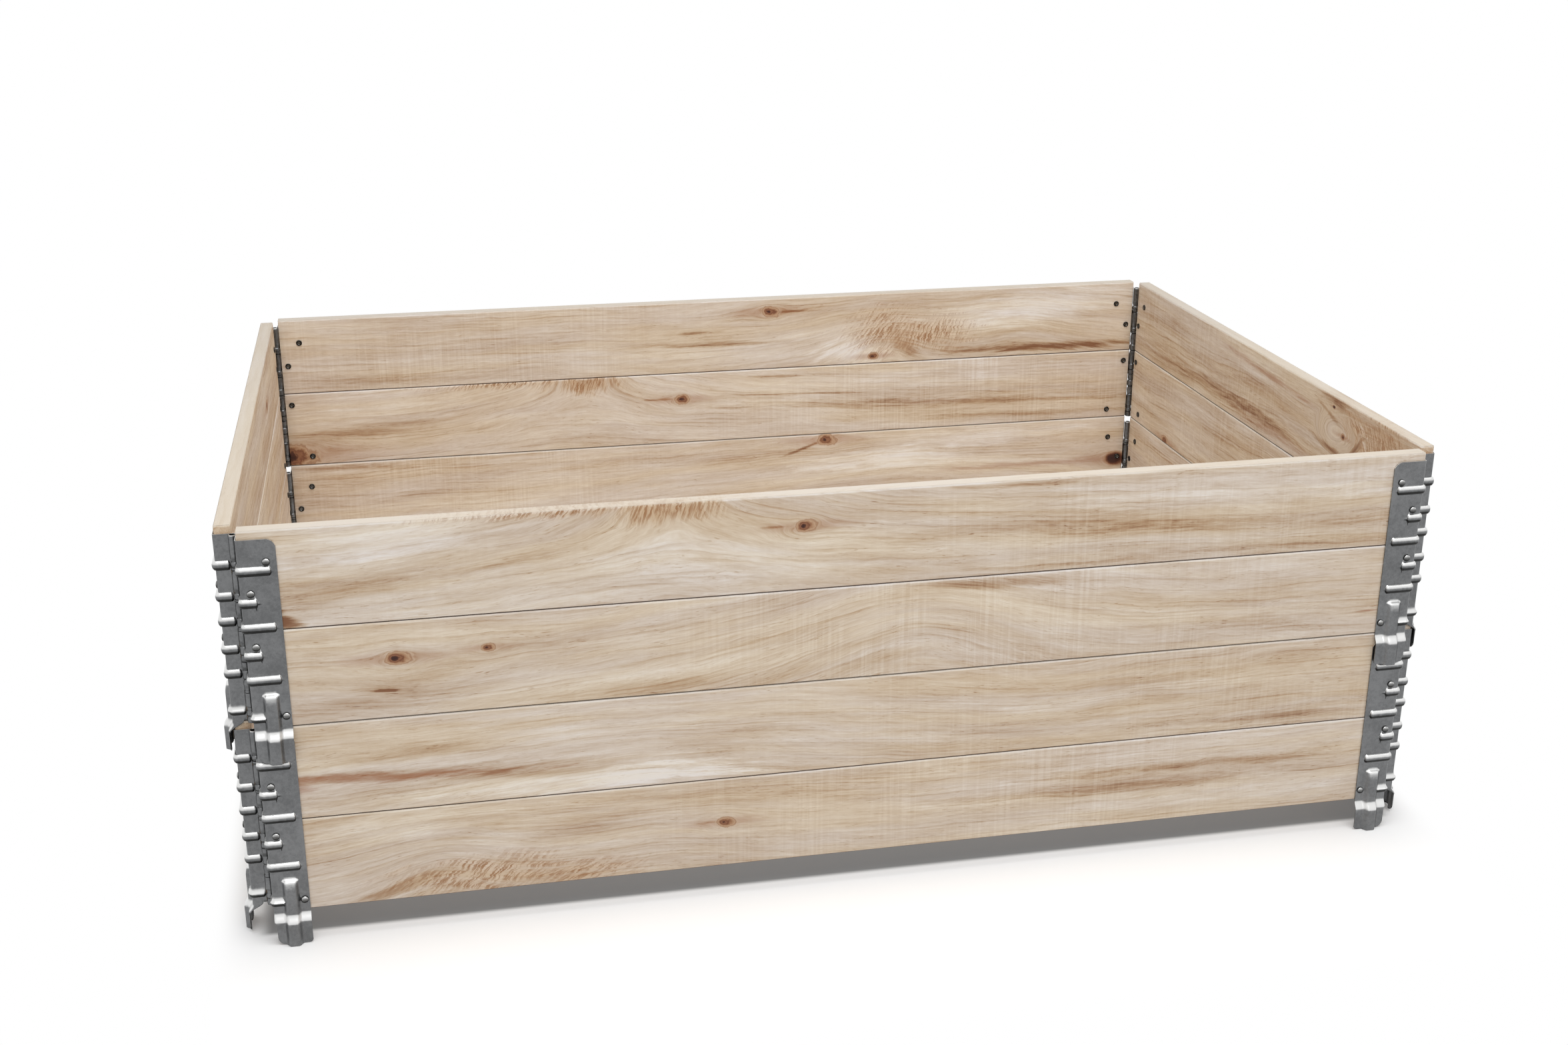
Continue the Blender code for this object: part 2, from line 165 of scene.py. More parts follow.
class Graph:
    def __init__(self, tree):
        self.tree = tree

    def add(self, kind, settings, values, output=0):
        node = self.tree.nodes.new(kind)
        for key, value in settings.items():
            if key == "stops":
                self.setStops(node.color_ramp, value)
            else:
                setattr(node, key, value)
        for key, value in values.items() if isinstance(values, dict) else enumerate(values):
            self.feed(node.inputs[key], value)
        return Wire(self, node.outputs[output])

    def setStops(self, ramp, stops):
        while len(ramp.elements) < len(stops):
            ramp.elements.new(0.5)
        for element, (position, colour) in zip(ramp.elements, stops):
            element.position = position
            element.color = colour

    def feed(self, socket, value):
        if isinstance(value, Wire):
            self.tree.links.new(value.socket, socket)
        else:
            socket.default_value = value

    def place(self):
        return self.add("ShaderNodeTexCoord", {}, {}, "Object")

    def axes(self):
        place = self.place()
        return [self.add("ShaderNodeSeparateXYZ", {}, [place], k) for k in range(3)]

    def vector(self, x, y, z):
        return self.add("ShaderNodeCombineXYZ", {}, [x, y, z])

    def noise(self, vector, scale, detail=2.0, roughness=0.5):
        values = {"Vector": vector, "Scale": scale, "Detail": detail, "Roughness": roughness}
        return self.add("ShaderNodeTexNoise", {}, values)

    def ramp(self, value, low, high):
        # Soft step: 0 at low, 1 at high
        settings = {"interpolation_type": "SMOOTHSTEP"}
        values = {"Value": value, "From Min": min(low, high), "From Max": max(low, high)}
        made = self.add("ShaderNodeMapRange", settings, values)
        return made if low < high else 1 - made

    def mix(self, factor, first, second, blend="MIX"):
        settings = {"data_type": "RGBA", "blend_type": blend}
        return self.add("ShaderNodeMix", settings, {0: factor, 6: first, 7: second}, 2)

    def largest(self, first, *others):
        for other in others:
            first = first.maths("MAXIMUM", first, other)
        return first

    def hypot(self, first, second):
        total = first * first + second * second
        return total.maths("SQRT", total)

    def finish(self, colour, roughness, height, bump):
        values = {"Height": height, "Distance": bump, "Strength": 1.0}
        self.feed(self.shader.inputs["Base Color"], colour)
        self.feed(self.shader.inputs["Roughness"], roughness)
        self.feed(self.shader.inputs["Normal"], self.add("ShaderNodeBump", {}, values))

    def whiteRays(self):
        # 1 for rays that come from the camera, or from something shiny or clear
        kinds = ("Is Camera Ray", "Is Glossy Ray", "Is Transmission Ray")
        return self.largest(*[self.add("ShaderNodeLightPath", {}, {}, kind) for kind in kinds])


def newMaterial(name):
    material = bpy.data.materials.new(name)
    material.use_nodes = True
    graph = Graph(material.node_tree)
    graph.shader = material.node_tree.nodes["Principled BSDF"]
    graph.output = material.node_tree.nodes["Material Output"]
    return material, graph


def rgb(red, green, blue):
    # A colour as it looks on screen, 0 to 255
    def linear(value):
        value /= 255
        return value / 12.92 if value <= 0.04045 else ((value + 0.055) / 1.055) ** 2.4

    return (linear(red), linear(green), linear(blue), 1.0)


print("camera, light and floor")
cameraView = {
    "place": (-0.4152, -2.0128, 1.0015),
    "angles": (69.8186, -0.1144, -11.6618),  # degrees about X, Y and Z
    "lens": 42.67,
    "sensor": 36.0,
}
cameraData = bpy.data.cameras.new("camera")
cameraData.sensor_width = cameraView["sensor"]
cameraData.sensor_fit = "HORIZONTAL"
cameraData.lens = cameraView["lens"]
camera = bpy.data.objects.new("camera", cameraData)
camera.location = cameraView["place"]
camera.rotation_euler = [math.radians(angle) for angle in cameraView["angles"]]
scene.collection.objects.link(camera)
scene.camera = camera
scene.view_settings.view_transform = "Standard"

studio = {
    "softBox": {
        "place": (0.05, -0.75, 2.3),
        "aim": (0.0, -0.25, 0.25),
        "size": (2.2, 2.4),
        "power": 55.0,
    },
    "room": 0.48,  # strength of the world as it lights the object
    "backdrop": 1.0,  # and as it is seen
}


def addSoftBox(lamp):
    light = bpy.data.lights.new("softBox", "AREA")
    light.shape = "RECTANGLE"
    light.size, light.size_y = lamp["size"]
    light.energy = lamp["power"]
    holder = bpy.data.objects.new("softBox", light)
    holder.location = lamp["place"]
    aim = Vector(lamp["aim"]) - Vector(lamp["place"])
    holder.rotation_euler = aim.to_track_quat("-Z", "Y").to_euler()
    holder.visible_camera = False
    scene.collection.objects.link(holder)


addSoftBox(studio["softBox"])


def makeWorld():
    world = bpy.data.worlds.new("studio")
    world.use_nodes = True
    graph = Graph(world.node_tree)
    white = (1.0, 1.0, 1.0, 1.0)
    room = graph.add("ShaderNodeBackground", {}, [white, studio["room"]])
    backdrop = graph.add("ShaderNodeBackground", {}, [white, studio["backdrop"]])
    chosen = graph.add("ShaderNodeMixShader", {}, [graph.whiteRays(), room, backdrop])
    graph.feed(world.node_tree.nodes["World Output"].inputs["Surface"], chosen)
    scene.world = world


makeWorld()

floorPaper = {
    "size": 14.0,
    "gap": 0.0004,  # below the tongues' tips
    "seenColour": 0.90,
    "shadowLift": 0.05,  # keeps the darkest shadow a soft grey
    "litColour": 0.78,  # as it throws light back
    "fade": (0.0, 0.26),  # the shadow dies out over this distance from the walls
    "sideways": 6.0,  # and sooner beside the short walls
    "halfSize": (0.6, 0.4),
    "gapLight": 0.24,  # painted shadow: share of the floor's colour kept just behind the front wall's foot
    "gapEnds": (0.602, 0.585),
    "gapFront": (-0.389, -0.380),
    "gapBack": (-0.26, -0.32),
}


def makeFloor():
    low, high = cadBox
    deselectAll()
    spot = (0, 0, low.z - floorPaper["gap"])
    bpy.ops.mesh.primitive_plane_add(size=floorPaper["size"], location=spot)
    floor = settle(bpy.context.object, "floor")
    material, graph = newMaterial("floorPaper")
    x, y, z = graph.axes()
    beside = [
        graph.largest(axis.maths("ABSOLUTE", axis) - half, 0.0)
        for axis, half in zip((x, y), floorPaper["halfSize"])
    ]
    fade = graph.ramp(graph.hypot(beside[0] * floorPaper["sideways"], beside[1]), *floorPaper["fade"])
    # Painted shadow on the floor just behind the front wall's foot, darkening its colour
    gap = graph.ramp(x.maths("ABSOLUTE", x), *floorPaper["gapEnds"])
    gap = gap * graph.ramp(y, *floorPaper["gapFront"]) * graph.ramp(y, *floorPaper["gapBack"])
    white = (1.0, 1.0, 1.0, 1.0)
    level = floorPaper["seenColour"]
    shaded = [level * floorPaper["gapLight"]] * 3 + [1.0]
    colour = graph.mix(gap, [level] * 3 + [1.0], shaded)
    paper = graph.add("ShaderNodeBsdfDiffuse", {}, {"Color": colour})
    lift = graph.add("ShaderNodeEmission", {}, [white, floorPaper["shadowLift"]])
    shadowed = graph.add("ShaderNodeAddShader", {}, [paper, lift])
    backdrop = graph.add("ShaderNodeEmission", {}, [white, studio["backdrop"]])
    seen = graph.add("ShaderNodeMixShader", {}, [fade, shadowed, backdrop])
    lit = graph.add("ShaderNodeBsdfDiffuse", {}, {"Color": [floorPaper["litColour"]] * 3 + [1.0]})
    chosen = graph.add("ShaderNodeMixShader", {}, [graph.whiteRays(), lit, seen])
    graph.feed(graph.output.inputs["Surface"], chosen)
    floor.data.materials.append(material)


makeFloor()


print("steel")
# Each look has a painted shade for faces that look down, two mottled tones of the zinc, and a painted
# highlight for faces that look up
galvanised = {
    "sheet": {
        "under": rgb(46, 46, 45),  # painted shade, on faces that look down
        "dark": rgb(106, 107, 108),
        "light": rgb(127, 128, 129),
        "paintedHighlight": rgb(226, 226, 225),  # painted highlight, on faces that look up
        "roughness": (0.30, 0.40),
    },
    "cutEdge": {
        "under": rgb(66, 66, 64),
        "dark": rgb(104, 104, 102),
        "light": rgb(140, 140, 138),
        "paintedHighlight": rgb(238, 238, 236),
        "roughness": (0.32, 0.44),
    },
    "rivet": {
        "under": rgb(50, 50, 49),
        "dark": rgb(92, 92, 91),
        "light": rgb(112, 112, 111),
        "paintedHighlight": rgb(188, 188, 187),
        "roughness": (0.24, 0.34),
    },
    "pin": {
        "under": rgb(50, 50, 49),
        "dark": rgb(62, 61, 59),
        "light": rgb(88, 87, 84),
        "paintedHighlight": rgb(96, 95, 92),
        "roughness": (0.38, 0.52),
    },
}
zincGrain = {
    "fine": 1100.0,  # scales of the three noises
    "mottle": 300.0,
    "cloud": 34.0,
    "shares": (0.25, 0.35, 0.4),  # of them in the zinc's colour
    "blend": (0.36, 0.64),
    "paintedLightFray": 0.10,  # how far the mottle frays the edges of the painted highlight and painted shade
    "relief": (0.6, 0.4),  # shares of fine and mottle in the bump
    "bump": 0.000018,
    "metallic": 1.0,
    "upperSide": (0.04, 0.38),  # how far up a face looks before it takes the painted highlight
    "underside": (0.0, -0.26),  # and how far down before it takes the painted shade
}


def steelMaterial(name, look):
    material, graph = newMaterial(name)
    place = graph.place()
    fine = graph.noise(place, zincGrain["fine"], 3.0, 0.6)
    mottle = graph.noise(place, zincGrain["mottle"], 3.0, 0.55)
    cloud = graph.noise(place, zincGrain["cloud"], 2.0)
    total = sum(layer * share for layer, share in zip((fine, mottle, cloud), zincGrain["shares"]))
    blend = graph.ramp(total, *zincGrain["blend"])
    upward = graph.add("ShaderNodeAttribute", {"attribute_name": "upward"}, {}, "Fac")
    upward = upward + (mottle - 0.5) * zincGrain["paintedLightFray"]
    colour = graph.mix(blend, look["dark"], look["light"])
    # Painted highlight where a face looks up, then painted shade where it looks down, both set by the
    # upward mark
    colour = graph.mix(graph.ramp(upward, *zincGrain["upperSide"]), colour, look["paintedHighlight"])
    colour = graph.mix(graph.ramp(upward, *zincGrain["underside"]), colour, look["under"])
    low, high = look["roughness"]
    height = sum(layer * share for layer, share in zip((fine, mottle), zincGrain["relief"]))
    graph.finish(colour, low + mottle * (high - low), height, zincGrain["bump"])
    graph.feed(graph.shader.inputs["Metallic"], zincGrain["metallic"])
    return material


def markUpward(thing, mostAt, axis=2):
    # Stores how far each corner looks up, for a painted highlight on faces that look up and a painted
    # shade on faces that look down; no mark is above what mostAt allows at a place
    mesh = thing.data
    upward = mesh.attributes.new("upward", "FLOAT", "CORNER")
    for loop, mark, normal in zip(mesh.loops, upward.data, mesh.corner_normals):
        mark.value = min(normal.vector[axis], mostAt(mesh.vertices[loop.vertex_index].co))


steels = {name: steelMaterial(name, look) for name, look in galvanised.items()}

leaf = {
    "sheet": 0.0012,
    "clearance": 0.0003,
    "boardThickness": 0.015,
    "boardHeight": 0.0975,
    "hingeInset": 0.0016,  # hinge axis beyond the boards' inner faces
    "barrelRadius": 0.004,
    "knuckles": 6,
    "knuckleGap": 0.0006,
    "curlAngle": math.radians(290),
    "curlSteps": 20,
    "foldRadius": 0.0022,  # outside of the fold
    "foldSteps": 5,
    "flangeWidth": 0.0335,
    "top": 0.1866,
    "topRadius": 0.009,
    "endFlangeBottom": 0.0008,
    "tongueDrop": 0.0335,
    "tongueNearRadius": 0.0085,
    "tongueFarRadius": 0.004,
    "stepTop": -0.001,
    "stepBottom": -0.0105,
    "stepOut": 0.0045,
    "gussetWidth": 0.009,
    "channelFoot": (0.0078, 0.0252),
    "channelSide": 0.0050,
    "channelDepth": 0.005,
    "channelTop": 0.0355,
    "channelLip": 0.0030,  # the steep start of the channel
    "channelLipShare": 0.55,  # of its depth, and the rest comes over the run below
    "channelRun": 0.0130,
    "ribHalfHeight": 0.0047,
    "ribDepth": 0.0031,  # on the outer flange
    "ribEndDepth": 0.0024,  # on the end flange
    "ribEndRound": 0.0026,
    "ribBarrelEnd": 0.0043,  # from the hinge axis to the ribs' inner ends
    "longRib": 0.028,
    "shortRib": 0.0135,
    "channelRib": 0.0115,
    "channelRibTop": 0.0085,
    "knuckleNeck": 0.001,  # the end flange goes this far past the ribs' inner ends
    "edgeRound": 0.00022,
    "edgeSteps": 2,
    "rowStep": 0.004,  # the grid's widest and narrowest rows and columns
    "rowApart": 0.00012,
    "edgeApart": 0.0002,
    "columnStep": 0.003,
    "columnApart": 0.0002,
    "weld": 0.00002,
    "creaseAngle": 42,
    "cornerClamp": 0.6,  # of the thickness, in sharp corners
    "innerShade": -0.10,  # mark of the painted shade on the barrels' inner sides, see markUpward
}
leaf["outerFace"] = leaf["hingeInset"] + leaf["boardThickness"]
leaf["boardEnd"] = leaf["barrelRadius"] + leaf["clearance"]
leaf["skin"] = leaf["clearance"] + leaf["sheet"]  # outer side of the sheet over the board
leaf["foldStart"] = leaf["foldRadius"] - leaf["skin"]
leaf["ribs"] = (
    (leaf["boardHeight"] + 0.0588, "longRib"),
    (leaf["boardHeight"] + 0.0280, "shortRib"),
    (leaf["boardHeight"] + 0.0035, "longRib"),
    (0.0731, "shortRib"),
    (0.0488, "longRib"),
    (0.0112, "channelRib"),
)


def ease(value, start, end):
    share = min(max((value - start) / (end - start), 0.0), 1.0)
    return share * share * (3 - 2 * share)


def cornerRise(distance, radius):
    # How much a rounded corner takes off the edge at this distance from the side
    shortOfArc = max(radius - distance, 0.0)
    return radius - math.sqrt(radius**2 - shortOfArc**2)


def arcDistances(radius, steps):
    return [radius * (1 - math.cos(math.pi / 2 * k / steps)) for k in range(steps + 1)]


def knuckleSpans(first):
    # The barrel spans (low, high) of one leaf, counted from the top
    pitch = leaf["top"] / leaf["knuckles"]
    gap = leaf["knuckleGap"] / 2
    spans = []
    for k in range(first, leaf["knuckles"], 2):
        high = leaf["top"] - k * pitch
        spans.append((high - pitch + gap, high - (gap if k else 0)))
    return spans


def filled(values, step, apart):
    # Sorted, without near twins, and with no gap over the step
    result = []
    for value in sorted(values):
        if result and value - result[-1] < apart:
            continue
        if result:
            start = result[-1]
            parts = math.ceil((value - start) / step - 1e-6)
            result += [start + (value - start) * k / parts for k in range(1, parts)]
        result.append(value)
    return result


def leafColumns():
    # From the flange's far edge round the fold, across the end flange and into the barrel
    width, start = leaf["flangeWidth"], leaf["foldStart"]
    near, far = leaf["channelFoot"]
    slopes = arcDistances(leaf["ribEndRound"], 6)
    sides = [leaf["channelSide"] * k / 8 for k in range(9)]
    along = {leaf[rib] - slope for rib in ("longRib", "shortRib") for slope in slopes}
    along |= {near + side for side in sides} | {far - side for side in sides}
    along |= {start + d for d in arcDistances(leaf["tongueNearRadius"], 7)}
    along |= {width - d for d in arcDistances(leaf["tongueFarRadius"], 5)}
    along |= {width - d for d in arcDistances(leaf["topRadius"], 8)}
    grid = leaf["columnStep"], leaf["columnApart"]
    columns = [("face", value) for value in reversed(filled(along, *grid))]
    columns += [("fold", math.pi / 2 * k / leaf["foldSteps"]) for k in range(1, leaf["foldSteps"])]
    ribEnd = leaf["outerFace"] - leaf["ribBarrelEnd"]
    inward = {start, leaf["gussetWidth"], leaf["outerFace"]} | {ribEnd - slope for slope in slopes}
    columns += [("end", value) for value in filled(inward, *grid)]
    curl = leaf["curlAngle"] / leaf["curlSteps"]
    return columns + [("curl", curl * k) for k in range(1, leaf["curlSteps"] + 1)]


def leafRows(knuckles):
    drop = -leaf["tongueDrop"]
    rows = {leaf["stepBottom"] + (leaf["stepTop"] - leaf["stepBottom"]) * k / 8 for k in range(9)}
    rows |= {leaf["channelTop"] - leaf["channelLip"] * k / 6 for k in range(7)}
    rows |= {leaf["channelTop"] - leaf["channelRun"] * k / 6 for k in range(7)}
    rows |= {leaf["top"] - d for d in arcDistances(leaf["topRadius"], 6)}
    rows |= {drop + d for d in arcDistances(leaf["tongueNearRadius"], 6)}
    for height, rib in leaf["ribs"]:
        rows |= {height + leaf["ribHalfHeight"] * math.sin(math.pi / 2 * k / 6) for k in range(-6, 7)}
        if rib == "channelRib":
            rows |= {height + leaf["channelRibTop"] * k / 8 for k in range(1, 9)}
    edges = {drop, leaf["stepBottom"], leaf["endFlangeBottom"], leaf["top"]}
    for span in knuckles:
        edges |= set(span)
    fine = filled(rows | edges, leaf["rowStep"], leaf["rowApart"])
    free = [row for row in fine if all(abs(row - edge) > leaf["edgeApart"] for edge in edges)]
    return sorted(free + list(edges))


def ribLift(zone, value, height):
    # How far the ribs lift the sheet here
    lift = 0.0
    for middle, rib in leaf["ribs"]:
        across = (height - middle) / leaf["ribHalfHeight"]
        depth, past = leaf["ribEndDepth"], 0.0
        if zone == "face":
            depth = leaf["ribDepth"]
            past = max(1 - (leaf[rib] - value) / leaf["ribEndRound"], 0.0)
        elif zone == "fold":
            depth = leaf["ribDepth"] + (leaf["ribEndDepth"] - leaf["ribDepth"]) * value / (math.pi / 2)
        elif zone == "end":
            ribEnd = leaf["outerFace"] - leaf["ribBarrelEnd"]
            past = max(1 - (ribEnd - value) / leaf["ribEndRound"], 0.0)
        section = math.sqrt(max(1 - across * across - past * past, 0.0))
        if rib == "channelRib" and across > 0:
            section = max(1 - (height - middle) / leaf["channelRibTop"], 0.0) ** 3
            section *= math.sqrt(max(1 - past * past, 0.0))
        lift = max(lift, depth * section)
    return lift


def channelLift(value, height):
    # A trough with rounded corners at its top, where it starts steeply and then runs on
    near, far = leaf["channelFoot"]
    top, lip = leaf["channelTop"], leaf["channelLipShare"]
    side = min(max(min(value - near, far - value) / leaf["channelSide"], 0.0), 1.0)
    end = min(max((top - height) / leaf["channelLip"], 0.0), 1.0)
    start = ease(max(1 - math.hypot(1 - side, 1 - end), 0.0), 0.0, 1.0)
    up = min(max(height - top + leaf["channelRun"], 0.0) / leaf["channelRun"], 1.0)
    return leaf["channelDepth"] * (lip * start + (1 - lip) * (1 - up * up) * ease(side, 0.0, 1.0))


def pressed(zone, value, height):
    # Where a point of the blank comes to lie, on the sheet's outer side. x runs from the hinge
    # axis along the board, -y to the outside, z up from the collar's lower edge.
    joggle = leaf["stepOut"] * (1 - ease(height, leaf["stepBottom"], leaf["stepTop"]))
    outerSide = leaf["outerFace"] + leaf["skin"]
    cornerX = leaf["boardEnd"] + leaf["foldStart"]
    cornerOut = outerSide - leaf["foldRadius"]
    if zone == "face":
        height = min(height, leaf["top"] - cornerRise(leaf["flangeWidth"] - value, leaf["topRadius"]))
        nearRise = cornerRise(value - leaf["foldStart"], leaf["tongueNearRadius"])
        farRise = cornerRise(leaf["flangeWidth"] - value, leaf["tongueFarRadius"])
        height = max(height, max(nearRise, farRise) - leaf["tongueDrop"])
        lift = max(channelLift(value, height), ribLift(zone, value, height))
        along, out = leaf["boardEnd"] + value, outerSide + lift
    elif zone == "fold":
        radius = leaf["foldRadius"] + ribLift(zone, value, height)
        along, out = cornerX - radius * math.sin(value), cornerOut + radius * math.cos(value)
    elif zone == "end":
        lift = ribLift(zone, value, height)
        if value <= leaf["gussetWidth"]:
            gusset = leaf["gussetWidth"] * ease(height, leaf["stepBottom"], leaf["endFlangeBottom"])
            value = min(value, max(gusset, leaf["foldStart"]))
        along, out = leaf["boardEnd"] - leaf["skin"] - lift, leaf["outerFace"] - value
    else:
        roll = leaf["barrelRadius"] - leaf["sheet"]
        along, out = roll * math.cos(value), -roll * math.sin(value)
    return Vector((along, -(out + joggle), height))


def hasSheet(before, after, height, knuckles):
    # Whether the blank covers the cell between two neighbouring columns at this height
    zone = before[0] if before[0] == "fold" else after[0]
    if zone == "face":
        return True
    if zone == "fold" or (zone == "end" and after[1] <= leaf["gussetWidth"]):
        return height > leaf["stepBottom"]
    if zone == "end" and after[1] < leaf["outerFace"] - leaf["ribBarrelEnd"] + leaf["knuckleNeck"]:
        return height > leaf["endFlangeBottom"]
    return any(low < height < high for low, high in knuckles)


def makeSheet(first):
    # A flat blank is cut out, pressed, folded and rolled, then gets its thickness
    knuckles = knuckleSpans(first)
    columns, rows = leafColumns(), leafRows(knuckles)
    across, up = len(columns) - 1, len(rows) - 1
    deselectAll()
    bpy.ops.mesh.primitive_grid_add(x_subdivisions=across, y_subdivisions=up, size=1)
    sheet = bpy.context.object
    sheet.name = "sheet"

    def cell(point):
        return (point.x + 0.5) * across, (point.y + 0.5) * up

    def isCutAway(face):
        i, j = (math.floor(k) for k in cell(face.calc_center_median()))
        return not hasSheet(columns[i], columns[i + 1], (rows[j] + rows[j + 1]) / 2, knuckles)

    def cutOut():
        selectWhere("FACE", isCutAway)
        bpy.ops.mesh.delete(type="FACE")

    edit(sheet, cutOut)
    for vertex in sheet.data.vertices:
        i, j = (round(k) for k in cell(vertex.co))
        vertex.co = pressed(*columns[i], rows[j])

    def weld():
        bpy.ops.mesh.select_all(action="SELECT")
        bpy.ops.mesh.remove_doubles(threshold=leaf["weld"])

    edit(sheet, weld)
    front = [face for face in sheet.data.polygons if face.center.y < -leaf["outerFace"]]
    if sum(face.normal.y * face.area for face in front) > 0:
        sheet.data.flip_normals()
    sheet.data.materials.append(steels["sheet"])
    sheet.data.materials.append(steels["cutEdge"])
    thickness = sheet.modifiers.new("thickness", "SOLIDIFY")
    thickness.thickness = leaf["sheet"]
    thickness.offset = -1
    thickness.use_even_offset = True
    thickness.thickness_clamp = leaf["cornerClamp"]
    thickness.material_offset_rim = 1
    applyModifiers(sheet)

    def roundEdges():
        selectWhere("FACE", lambda face: face.material_index == 1)
        bpy.ops.mesh.region_to_loop()
        bpy.ops.mesh.bevel(
            offset=leaf["edgeRound"], segments=leaf["edgeSteps"], affect="EDGES", clamp_overlap=True
        )

    edit(sheet, roundEdges)
    smooth(sheet, leaf["creaseAngle"])

    def mostAt(place):
        # The flanges and the barrels' top rims may take the full painted highlight, the rest of the
        # barrels none, and the barrels' inner sides get painted shade
        if place.z > leaf["top"] - leaf["sheet"] or place.xy.length > leaf["boardEnd"]:
            return 1.0
        return leaf["innerShade"] if place.y > 0 else 0.0

    markUpward(sheet, mostAt)
    return sheet


rivet = {
    "headRadius": 0.0036,
    "headHeight": 0.0024,
    "headLip": 0.0008,  # straight wall under the dome
    "domeSteps": 8,
    "domeCrown": 0.4,  # of a step, left flat at the top
    "shankRadius": 0.0024,
    "tailRadius": 0.0037,
    "tailHeight": 0.001,
    "tailRound": 0.0004,
    "tailRing": 0.0022,  # inside of the raised ring
    "tailDish": 0.0004,
    "tailSlope": 0.0004,
    "tailCentre": 0.0003,  # radius of the first ring
    "sides": 28,
    "darkReach": 0.0002,  # a painted shade line runs round the head's foot, this wide
    "darkShade": -0.24,  # its mark, and that of the painted shade on the tail from its ring outwards, see markUpward
    "places": (
        (leaf["boardHeight"] + 0.0673, 0.0240),
        (leaf["boardHeight"] + 0.0371, 0.0080),
        (0.0822, 0.0080),
        (0.0115, 0.0286),
    ),
}


turnedCrease = 40


def turnUp(name, rings, sides, material):
    # A disc drawn up ring by ring, each (radius, height)
    deselectAll()
    radius, height = rings[0]
    bpy.ops.mesh.primitive_circle_add(
        vertices=sides, radius=radius, fill_type="NGON", location=(0, 0, height)
    )
    piece = settle(bpy.context.object, name)

    def drawUp():
        bpy.ops.mesh.select_mode(type="FACE")
        bpy.ops.mesh.select_all(action="SELECT")
        for (before, low), (after, high) in zip(rings, rings[1:]):
            bpy.ops.mesh.extrude_region_move(TRANSFORM_OT_translate={"value": (0, 0, high - low)})
            grow = after / before
            bpy.ops.transform.resize(value=(grow, grow, 1), center_override=(0, 0, 0))
        bpy.ops.mesh.select_all(action="SELECT")
        bpy.ops.mesh.normals_make_consistent(inside=False)

    edit(piece, drawUp)
    piece.data.materials.append(material)
    smooth(piece, turnedCrease)
    return piece


def makeRivet():
    # Head up, with the leaf's outer side at height 0
    low = -(leaf["sheet"] + leaf["clearance"] * 2 + leaf["boardThickness"])
    tailEnd = low - rivet["tailHeight"]
    rings = [
        (rivet["tailCentre"], tailEnd + rivet["tailDish"]),
        (rivet["tailRing"] - rivet["tailSlope"], tailEnd + rivet["tailDish"]),
        (rivet["tailRing"], tailEnd),
        (rivet["tailRadius"] - rivet["tailRound"], tailEnd),
        (rivet["tailRadius"], tailEnd + rivet["tailRound"]),
        (rivet["tailRadius"], low),
        (rivet["shankRadius"], low),
        (rivet["shankRadius"], -leaf["sheet"] / 2),
        (rivet["headRadius"], -leaf["sheet"] / 2),
        (rivet["headRadius"], rivet["headLip"]),
    ]
    dome = rivet["headHeight"] - rivet["headLip"]
    for k in range(1, rivet["domeSteps"] + 1):
        turn = math.pi / 2 * k / (rivet["domeSteps"] + rivet["domeCrown"])
        rings.append((rivet["headRadius"] * math.cos(turn), rivet["headLip"] + dome * math.sin(turn)))
    made = turnUp("rivet", rings, rivet["sides"], steels["rivet"])

    # The dome may take the full painted highlight; a painted shade line runs round the head's foot and
    # over the tail from its ring outwards, and the tail's middle gets no highlight
    def mostAt(place):
        away = place.xy.length
        if place.z > 0 and away < rivet["headRadius"] - rivet["darkReach"]:
            return 1.0
        return 0.0 if away < rivet["tailRing"] else rivet["darkShade"]

    markUpward(made, mostAt, axis=1)
    return made


def makeRivets(made):
    # The leaf's four rivets as one piece
    face = -(leaf["outerFace"] + leaf["skin"])
    turn = Matrix.Rotation(math.pi / 2, 4, "X")
    copies = [
        copyTo(made, "rivet", Matrix.Translation((leaf["boardEnd"] + along, face, height)) @ turn)
        for height, along in rivet["places"]
    ]
    deselectAll()
    for copy in copies:
        copy.select_set(True)
    bpy.context.view_layer.objects.active = copies[0]
    bpy.ops.object.join()
    return copies[0]


print("hinge leaves and rivets")


def leafPlace(collar, wall, end):
    # As it lies on its wall: mirrored or not, turned, and moved to its hinge axis
    side = -1 if wall in ("front", "left") else 1
    other = -1 if end in ("left", "front") else 1
    if wall in ("front", "back"):
        hand, angle = side * other, 0.0 if other < 0 else math.pi
        pin = f"{collar}_{wall}_{end}_pin"
    else:
        hand, angle = -side * other, -other * math.pi / 2
        pin = f"{collar}_{end}_{wall}_pin"
    low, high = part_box(pin)
    spot = (low + high) / 2
    spot.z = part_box(f"{collar}_{wall}_bottom_board")[0].z
    mirror = Matrix.Diagonal((1, hand, 1, 1))
    return Matrix.Translation(spot) @ Matrix.Rotation(angle, 4, "Z") @ mirror


def placeLeaves():
    sheets = {first: makeSheet(first) for first in (0, 1)}
    one = makeRivet()
    rivets = makeRivets(one)
    for collar in collars:
        for wall, ends in wallEnds.items():
            for end in ends:
                name = f"{collar}_{wall}_wall_{end}"
                place = leafPlace(collar, wall, end)
                first = 1 if wall in ("front", "back") else 0
                sheet = copyTo(sheets[first], f"{name}_hinge", place)
                fasteners = copyTo(rivets, f"{name}_rivets", place)
                for piece in (sheet, fasteners):
                    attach(piece, f"{collar}_{wall}_wall")
                    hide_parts(f"{name}_leaf")
    for thing in (one, rivets, *sheets.values()):
        remove(thing)


placeLeaves()

print("hinge pins")
hingePin = {"sides": 24, "chamfer": 0.0005, "clearance": 0.0002}


